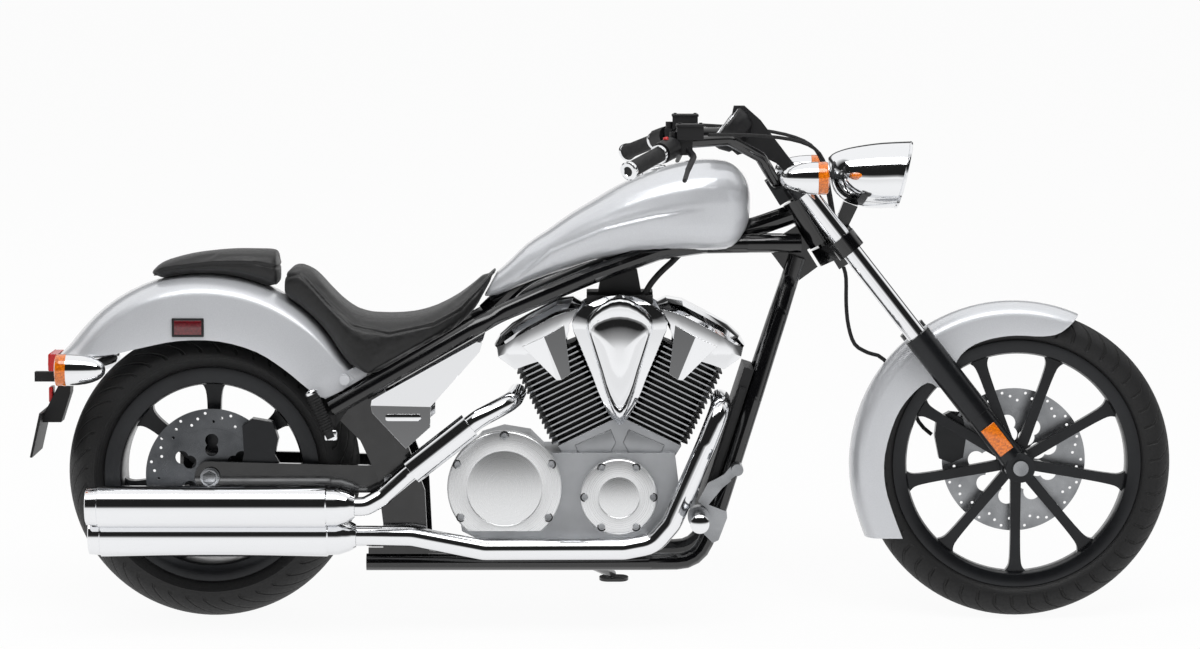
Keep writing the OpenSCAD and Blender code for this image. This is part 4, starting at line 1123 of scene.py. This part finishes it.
class AirCleanerCovers(bpy.types.Operator):
    """Teardrop covers with a raised rim round a crowned middle"""

    bl_idname = "cruiser.air_cleaner_covers"
    bl_label = "Air cleaner covers"

    # Top, height of the widest place, half width, tip and distance from the middle plane
    RINGS = (
        (735, 672, 107, 442, 102), (735, 672, 107, 442, 108), (733, 671, 105, 446, 111.5),
        (728, 668, 75, 454, 117.5), (726.5, 667.5, 73.5, 456, 121), (725, 667, 72.5, 458, 129),
        (721, 666, 71, 461, 132.5), (712, 664, 69.5, 466, 134), (698, 661, 67.5, 474, 133.4),
        (693, 660, 66, 478, 131.8), (690, 659, 65, 480, 130.2), (686, 657, 63.5, 485, 130.0),
        (676, 653, 58, 500, 131.6), (660, 646, 48, 524, 133.2), (640, 634, 32, 556, 134.4),
        (620, 616, 12, 590, 134.8),
    )
    # The widest ring as (half width, height), and its top, widest place and tip
    OUTLINE = (
        (0, 735), (30, 731), (58, 719), (82, 704), (99, 688), (107, 668), (104, 650), (92, 622),
        (78, 588), (62, 550), (48, 512), (34, 482), (20, 460), (8, 446), (0, 442),
    )
    TOP, WIDEST, TIP, HALF = 735, 668, 442, 107

    def execute(self, context):
        bm = bmesh.new()
        for side in SIDES:
            loops = [self.ring(bm, side, *row) for row in self.RINGS]
            for first, second in zip(loops, loops[1:]):
                bmesh.ops.bridge_loops(bm, edges=first + second)
            for end in (loops[0], loops[-1]):
                bmesh.ops.edgeloop_fill(bm, edges=end)
        covers = finished("teardrop_covers", bm, "frame", "chrome", chrome(), 30)
        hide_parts("intake_covers")
        return {"FINISHED"}

    def ring(self, bm, side, top, middle, half, tip, out):
        """One closed loop of edges, the outline stretched to its own size."""
        right = []
        above = (top - middle) / (self.TOP - self.WIDEST)
        below = (middle - tip) / (self.WIDEST - self.TIP)
        for x, z in self.OUTLINE:
            rise = z - self.WIDEST
            right.append((x * half / self.HALF, middle + rise * (above if rise > 0 else below)))
        around = right + [(-x, z) for x, z in reversed(right[1:-1])]
        points = [bm.verts.new((ENGINE_X + x, side * out, z)) for x, z in around]
        return [bm.edges.new(pair) for pair in zip(points, points[1:] + points[:1])]


class Lamps(bpy.types.Operator):
    """Lenses, reflectors and the headlight's glass"""

    bl_idname = "cruiser.lamps"
    bl_label = "Lamps and reflectors"

    # Profiles as (radius, height)
    FRONT_LENS = ((35.9, 84), (36.5, 85), (36.5, 102), (35, 105.5), (28, 108), (14, 109.6), (0, 110))
    REAR_LENS = ((34.9, 86), (35.5, 87), (35.5, 106), (34, 109), (27, 111.2), (14, 112.6), (0, 113))
    MARKER = ((0, 0), (9, 0), (8.5, 1.6), (5, 3), (0, 3.6))
    BEZEL = ((72, 0.4), (77, 0.4), (78.5, 3), (77, 7), (72, 8.5), (69, 6), (68.5, 0.4))
    GLASS = ((0, 0.5), (30, 0.8), (69, 3.2), (69, 5.0), (45, 8.5), (20, 10.2), (0, 10.8))

    def execute(self, context):
        for side in SIDES:
            hand = "left" if side > 0 else "right"
            front = facing((1265, side * 166, 996), (1, 0, 0))
            self.amber(f"front_signal_lens_{hand}", self.FRONT_LENS, front, 64, "steering")
            rear = facing((-228, side * 160, 570), (-1, 0, 0))
            self.amber(f"rear_signal_lens_{hand}", self.REAR_LENS, rear, 64, "frame")
            self.fender_reflector(side, hand)
            self.fork_reflector(side, hand)
            oval = facing((1440, side * 70.5, 997), (0, side, 0.05)) @ Matrix.Diagonal((1.35, 0.75, 1.4, 1))
            self.amber(f"marker_lens_{hand}", self.MARKER, oval, 32, "steering")
        self.headlight()
        block_piece("tail_lens", (-368, -58.5, 557), (-361, 58.5, 597), 4, "frame", "red_lens", red_lens())
        block_piece("rear_reflector", (-371, -24, 484), (-362, 24, 519), 3, "frame", "red_lens", red_lens())
        return {"FINISHED"}

    def amber(self, name, profile, place, steps, body):
        turned_piece(name, profile, place, steps, body, "red_lens", amber_lens())

    def fender_reflector(self, side, hand):
        """Dark red plate in a black frame on the rear fender's flank."""
        low, high = (-84, side * 117.4, 640), (-13, side * 122.5, 682)
        block_piece(f"reflector_frame_{hand}", low, high, 1.8, "frame", "black_plastic", plastic())
        low, high = (-79, side * 121, 645), (-18, side * 124, 677)
        block_piece(f"fender_reflector_{hand}", low, high, 1.2, "frame", "red_lens", deep_red_lens())

    def fork_reflector(self, side, hand):
        """Amber plate along the slider."""
        up = Vector((-math.sin(LEG_ANGLE), 0, math.cos(LEG_ANGLE)))
        ahead = Vector((up.z, 0, -up.x))
        stand = Matrix((ahead, up.cross(ahead), up)).transposed().to_4x4()
        bm = bmesh.new()
        block(bm, (-18, side * 125.6, -36), (18, side * 130, 36), 1.5)
        bmesh.ops.transform(bm, matrix=Matrix.Translation((1752, 0, 412)) @ stand, verts=bm.verts)
        finished(f"fork_reflector_{hand}", bm, "steering", "red_lens", amber_lens())

    def headlight(self):
        """Bezel and fluted glass on the slanted front of the lamp."""
        low, high = Vector((1527, 0, 921)), Vector((1562.4, 0, 1071))
        up = (high - low).normalized()
        place = facing((low + high) / 2, (up.z, 0, -up.x))
        turned_piece("headlight_bezel", self.BEZEL, place, 96, "steering", "chrome", chrome())
        glass, tree, shader = surface(
            "fluted_glass", "#9FA6AB", 0.6, 0.08, coat_weight=1.0, coat_roughness=0.02
        )
        pitch = {"Scale": 0.318 / (9 * MM)}
        flutes = add(tree, "TexWave", {"Vector": in_piece(tree)}, pitch, bands_direction="Y").outputs["Fac"]
        normals_from(tree, shader, bump(tree, flutes, 1.2, None, 0.6))
        turned_piece("headlight_glass", self.GLASS, place, 96, "steering", "chrome", glass)


class Fasteners(bpy.types.Operator):
    """Cap screws of the covers and nuts of the axles"""

    bl_idname = "cruiser.fasteners"
    bl_label = "Bolts and nuts"

    def execute(self, context):
        r = sizes().bolt_r
        bm = bmesh.new()
        for turn in (90, 27, -34, 214, 153):
            self.round_bolt(bm, (655.5, 305), turn, 117, -146.4, r)
        for step in range(6):
            self.round_bolt(bm, (910, 284), 60 * step, 76, -143.0, r * 0.95)
        for step in range(5):
            self.round_bolt(bm, (ENGINE_X, CRANK_Z), 36 + 72 * step, 86, 144.0, r * 0.9)
            self.round_bolt(bm, (690, 300), 18 + 72 * step, 82, 139.0, r * 0.9)
        # The black plastic is the painted shade ring round each screw
        finished("cover_bolts", bm, "frame", "steel", [steel(), plastic()])
        bm = bmesh.new()
        hex_bolt(bm, (REAR_AXLE.x, -149.5, REAR_AXLE.z), (0, -1, 0), 15, 11)
        for side in SIDES:
            hex_bolt(bm, (400, side * 130.5, 322), (0, side, 0), 14, 9)
        finished("axle_nuts", bm, "frame", "steel", steel())
        bm = bmesh.new()
        for side in SIDES:
            socket_bolt(bm, (FRONT_AXLE.x, side * 128.2, FRONT_AXLE.z), (0, side, 0), 11, 6)
        finished("front_axle_caps", bm, "steering", "steel", steel())
        return {"FINISHED"}

    def round_bolt(self, bm, middle, turn, reach, out, r):
        a = math.radians(turn)
        axis = (0, math.copysign(1, out), 0)
        at = (middle[0] + reach * math.cos(a), out, middle[1] + reach * math.sin(a))
        socket_bolt(bm, at, axis, r, 6)
        # Black ring round the screw: painted shade of the pocket that the screw sits in
        pocket_shade_ring = [(r + 0.4, 0), (r + 3.2, 0), (r + 3.0, 1.2), (r + 0.6, 1.2), (r + 0.4, 0)]
        lathe(bm, pocket_shade_ring, facing(at, axis), 24, 1)


class BarTrim(bpy.types.Operator):
    """Grip caps, the switch button, the reservoir lids and the dial"""

    bl_idname = "cruiser.bar_trim"
    bl_label = "Bars and dial"

    # Profiles as (radius, height)
    GRIP_CAP = ((17, -9), (20.3, -9), (20.8, -6), (20.6, -1), (18, 1.2), (11, 1.6), (9, -1.5), (0, -1.5))
    GRIP_COLLAR = ((17, 1), (20.5, 1), (21, 3), (21, 8), (20.5, 10), (17, 10))
    BUTTON = ((0, -3), (6, -3), (6, 3), (5, 4.4), (0, 4.8))
    DIAL = ((0, 0.3), (43.5, 0.3), (43.5, 1.0), (0, 1.0))
    DIAL_GLASS = ((0, 4.2), (44.4, 4.2), (44.4, 5.2), (20, 6.2), (0, 6.6))
    DIAL_BEZEL = ((44.5, 3), (44.5, 6.5), (46.5, 7.6), (49, 6.6), (49.5, 4))

    def execute(self, context):
        bend, end = Vector((1015, 325, 1066)), Vector((935, 440, 1028))
        for side in SIDES:
            hand = "left" if side > 0 else "right"
            flip = Vector((1, side, 1))
            along = (end - bend).normalized() * flip
            tip = (end + 12 * (end - bend).normalized()) * flip
            bm = bmesh.new()
            lathe(bm, self.GRIP_CAP, facing(tip, along), 48)
            lathe(bm, self.GRIP_COLLAR, facing(bend.lerp(end, 0.2) * flip, along), 48)
            finished(f"grip_caps_{hand}", bm, "steering", "chrome", chrome())
            perch = Vector((1050, 270, 1078)).lerp(bend, 0.42) * flip
            bm = bmesh.new()
            block(bm, perch + Vector((-2, -26, 42)), perch + Vector((60, 24, 48)), 2)
            for x in (6, 52):
                socket_bolt(bm, perch + Vector((x, 0, 48)), (0, 0, 1), 3.6, 2.4)
            finished(f"reservoir_lid_{hand}", bm, "steering", "black_plastic", plastic())
        place = facing((1011, -328, 1088.5), (-0.2, -0.2, 1))
        turned_piece("stop_button", self.BUTTON, place, 32, "steering", "red_lens", red_lens())
        self.dial()
        return {"FINISHED"}

    def dial(self):
        """Face, marks, glass and bezel of the round instrument."""
        normal = Vector((-0.788, 0, 0.616))
        face = facing(Vector((1150, 0, 1108)) - 5 * normal, normal)
        pale = moulded_plastic("dial_face", "#DADCDD", 0.4, 0.5)
        turned_piece("dial_face", self.DIAL, face, 96, "steering", "black_plastic", pale)
        bm = bmesh.new()
        for step in range(25):
            long = 7 if step % 3 == 0 else 4
            self.mark(bm, face, -120 + 10 * step, (0, 38 - long / 2, 1.2), (1.1, long, 0.4))
        self.mark(bm, face, 118, (0, 14, 1.8), (1.6, 40, 0.6))
        lathe(bm, [(0, 1.2), (6, 1.2), (5, 3), (0, 3.2)], face, 32)
        finished("dial_marks", bm, "steering", "black_plastic", plastic())
        turned_piece("dial_glass", self.DIAL_GLASS, face, 96, "steering", "black_plastic", clear_glass())
        turned_piece("dial_bezel", self.DIAL_BEZEL, face, 96, "steering", "chrome", chrome())

    def mark(self, bm, face, degrees, middle, size):
        """Thin bar on the dial, turned about its middle: a tick or the needle."""
        turn = Matrix.Rotation(math.radians(degrees), 4, "Z")
        bar = Matrix.Translation(middle) @ Matrix.Diagonal((*size, 1))
        bmesh.ops.create_cube(bm, size=1, matrix=face @ turn @ bar)


class SmallHoses(bpy.types.Operator):
    """Hoses and leads between the tank, the frame and the engine"""

    bl_idname = "cruiser.small_hoses"
    bl_label = "Hoses and leads"

    def execute(self, context):
        breather = [(1066, -40, 842), (1040, -50, 812), (1000, -58, 778), (972, -58, 742), (962, -56, 716)]
        wire("breather_hose", breather, 7, rubber())
        for side in SIDES:
            hand = "left" if side > 0 else "right"
            route = ((1035, 40, 700), (1048, 66, 668), (1050, 80, 640), (1040, 84, 612))
            wire(f"front_lead_{hand}", [(x, side * y, z) for x, y, z in route], 4, rubber())
        return {"FINISHED"}


class Studio(bpy.types.Operator):
    """White room with a dark wall for the chrome, softboxes and the camera"""

    bl_idname = "cruiser.studio"
    bl_label = "Studio"

    def execute(self, context):
        scene = bpy.context.scene
        scene.view_settings.view_transform = "Standard"
        self.floor()
        studio = scene.cruiser_studio
        self.softbox("key_light", (0.0, -1.4, 4.2), (0, 0, 0.5), (4.6, 1.6), studio.key_power, True)
        self.softbox("front_fill", (3.6, -3.2, 2.4), (0.3, 0, 0.5), (2.0, 2.0), studio.fill_power)
        self.softbox("rear_fill", (-3.6, 2.8, 2.6), (-0.3, 0, 0.5), (2.0, 2.0), studio.fill_power)
        self.room(studio.world_strength)
        self.camera(studio)
        return {"FINISHED"}

    def floor(self):
        bm = bmesh.new()
        bmesh.ops.create_grid(bm, x_segments=1, y_segments=1, size=30)
        mesh = bpy.data.meshes.new("studio_floor")
        bm.to_mesh(mesh)
        bm.free()
        floor = bpy.data.objects.new("studio_floor", mesh)
        floor.location.z = -0.0008
        bpy.context.scene.collection.objects.link(floor)
        material, tree, shader = surface("seamless_paper", "#F6F6F6", 0.0, 0.9)
        # Paper burnt out to white in the picture, and nearly so in the chrome
        path = add(tree, "LightPath")
        shine = add(tree, "Math", {0: path.outputs["Is Glossy Ray"]}, {1: 0.75}, operation="MULTIPLY")
        picture = add(tree, "Math", {0: path.outputs["Is Camera Ray"]}, {1: 0.94}, operation="MULTIPLY")
        both = {0: shine.outputs["Value"], 1: picture.outputs["Value"]}
        lift = add(tree, "Math", both, operation="ADD").outputs["Value"]
        white = add(tree, "Emission", values={"Color": (1, 1, 1, 1), "Strength": 1.0})
        seen = add(tree, "MixShader", {0: lift, 1: shader.outputs["BSDF"], 2: white.outputs["Emission"]})
        tree.links.new(seen.outputs["Shader"], tree.nodes["Material Output"].inputs["Surface"])
        mesh.materials.append(material)

    def softbox(self, name, place, target, size, power, glossy=False):
        light = bpy.data.lights.new(name, "AREA")
        light.shape = "RECTANGLE"
        light.size, light.size_y = size
        light.energy = power
        lamp = bpy.data.objects.new(name, light)
        lamp.location = place
        lamp.visible_glossy = glossy
        lamp.rotation_euler = (Vector(target) - Vector(place)).to_track_quat("-Z", "Y").to_euler()
        bpy.context.scene.collection.objects.link(lamp)

    # Height of a ray (sine of its angle) and the brightness of each wall there, as shiny metal sees it
    NEAR_WALL = ((0.0, 1.0), (0.06, 0.9), (0.13, 0.35), (0.25, 0.015), (0.80, 0.015), (0.87, 1.0))
    FAR_WALL = ((0.0, 1.0), (0.06, 0.9), (0.13, 0.35), (0.2, 0.03), (0.34, 0.03), (0.42, 1.0))

    def room(self, strength):
        """White room: seen at full strength, softer as light, with dark walls in polished metal."""
        world = bpy.context.scene.world or bpy.data.worlds.new("studio_room")
        bpy.context.scene.world = world
        world.use_nodes = True
        tree = world.node_tree
        tree.nodes.clear()
        way = add(tree, "SeparateXYZ", {"Vector": in_piece(tree, output="Generated")})
        near, far = (self.wall(tree, way.outputs["Z"], stops) for stops in (self.NEAR_WALL, self.FAR_WALL))
        step = add(tree, "Math", {0: far, 1: near}, operation="SUBTRACT").outputs["Value"]
        side = span(tree, way.outputs["Y"], -0.15, 0.15)
        walls = add(tree, "Math", {0: step, 1: side, 2: near}, operation="MULTIPLY_ADD")
        path = add(tree, "LightPath")
        level = span(tree, path.outputs["Is Camera Ray"], 0, 1, strength, 1.0)
        light = add(tree, "Background", {"Strength": level}, {"Color": (1, 1, 1, 1)})
        shine = add(tree, "Background", {"Color": walls.outputs["Value"]})
        glossy = path.outputs["Is Glossy Ray"]
        seen = add(tree, "MixShader", {0: glossy, 1: light.outputs["Background"], 2: shine.outputs["Background"]})
        add(tree, "OutputWorld", {"Surface": seen.outputs["Shader"]})

    def wall(self, tree, height, stops):
        """Brightness of a wall at a ray's height."""
        ramp = add(tree, "ValToRGB", {"Fac": height})
        elements = ramp.color_ramp.elements
        while len(elements) < len(stops):
            elements.new(0.5)
        for stop, (place, level) in zip(elements, stops):
            stop.position = place
            stop.color = (level, level, level, 1)
        return ramp.outputs["Color"]

    def camera(self, studio):
        """Square to the machine's right side, a little above its middle."""
        turn = PARKED.to_3x3().normalized()
        target = PARKED @ Vector((868, 0, 658))
        eye = PARKED @ Vector((868, -studio.distance * 1000, 658 + 84 * studio.distance))
        data = bpy.data.cameras.new("side_camera")
        data.sensor_width = 36
        data.lens = 36 * (eye - target).length / studio.width
        data.clip_end = 100
        camera = bpy.data.objects.new("side_camera", data)
        look = (target - eye).normalized()
        right = turn @ Vector((1, 0, 0))
        up = right.cross(look).normalized()
        camera.matrix_world = Matrix.Translation(eye) @ Matrix((right, up, -look)).transposed().to_4x4()
        bpy.context.scene.collection.objects.link(camera)
        bpy.context.scene.camera = camera


class CruiserPanel(bpy.types.Panel):
    """Lists the machine's pieces and their settings"""

    bl_idname = "VIEW3D_PT_cruiser"
    bl_label = "Cruiser"
    bl_space_type = "VIEW_3D"
    bl_region_type = "UI"
    bl_category = "Cruiser"

    def draw(self, context):
        layout = self.layout
        for group in (context.scene.cruiser_finishes, context.scene.cruiser_sizes, context.scene.cruiser_studio):
            box = layout.box()
            for name in group.__annotations__:
                box.prop(group, name)
        for operator in OPERATORS:
            layout.operator(operator.bl_idname)


OPERATORS = (
    PaintedFrame, LacqueredTank, EngineFinishes, ChromeWork, WheelFinishes, DarkTrim, Seats,
    RoundCovers, RockerCovers, SideCovers, Trimmings, AirCleanerCovers, Lamps, Fasteners, BarTrim, SmallHoses, Studio,
)
CLASSES = (CruiserFinishes, CruiserSizes, CruiserStudio, *OPERATORS, CruiserPanel)


def register():
    for cls in CLASSES:
        bpy.utils.register_class(cls)
    bpy.types.Scene.cruiser_finishes = PointerProperty(type=CruiserFinishes)
    bpy.types.Scene.cruiser_sizes = PointerProperty(type=CruiserSizes)
    bpy.types.Scene.cruiser_studio = PointerProperty(type=CruiserStudio)


def unregister():
    del bpy.types.Scene.cruiser_studio
    del bpy.types.Scene.cruiser_sizes
    del bpy.types.Scene.cruiser_finishes
    for cls in reversed(CLASSES):
        bpy.utils.unregister_class(cls)


def main():
    register()
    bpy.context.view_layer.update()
    for operator in OPERATORS:
        group, call = operator.bl_idname.split(".")
        getattr(getattr(bpy.ops, group), call)()


if __name__ == "__main__":
    main()
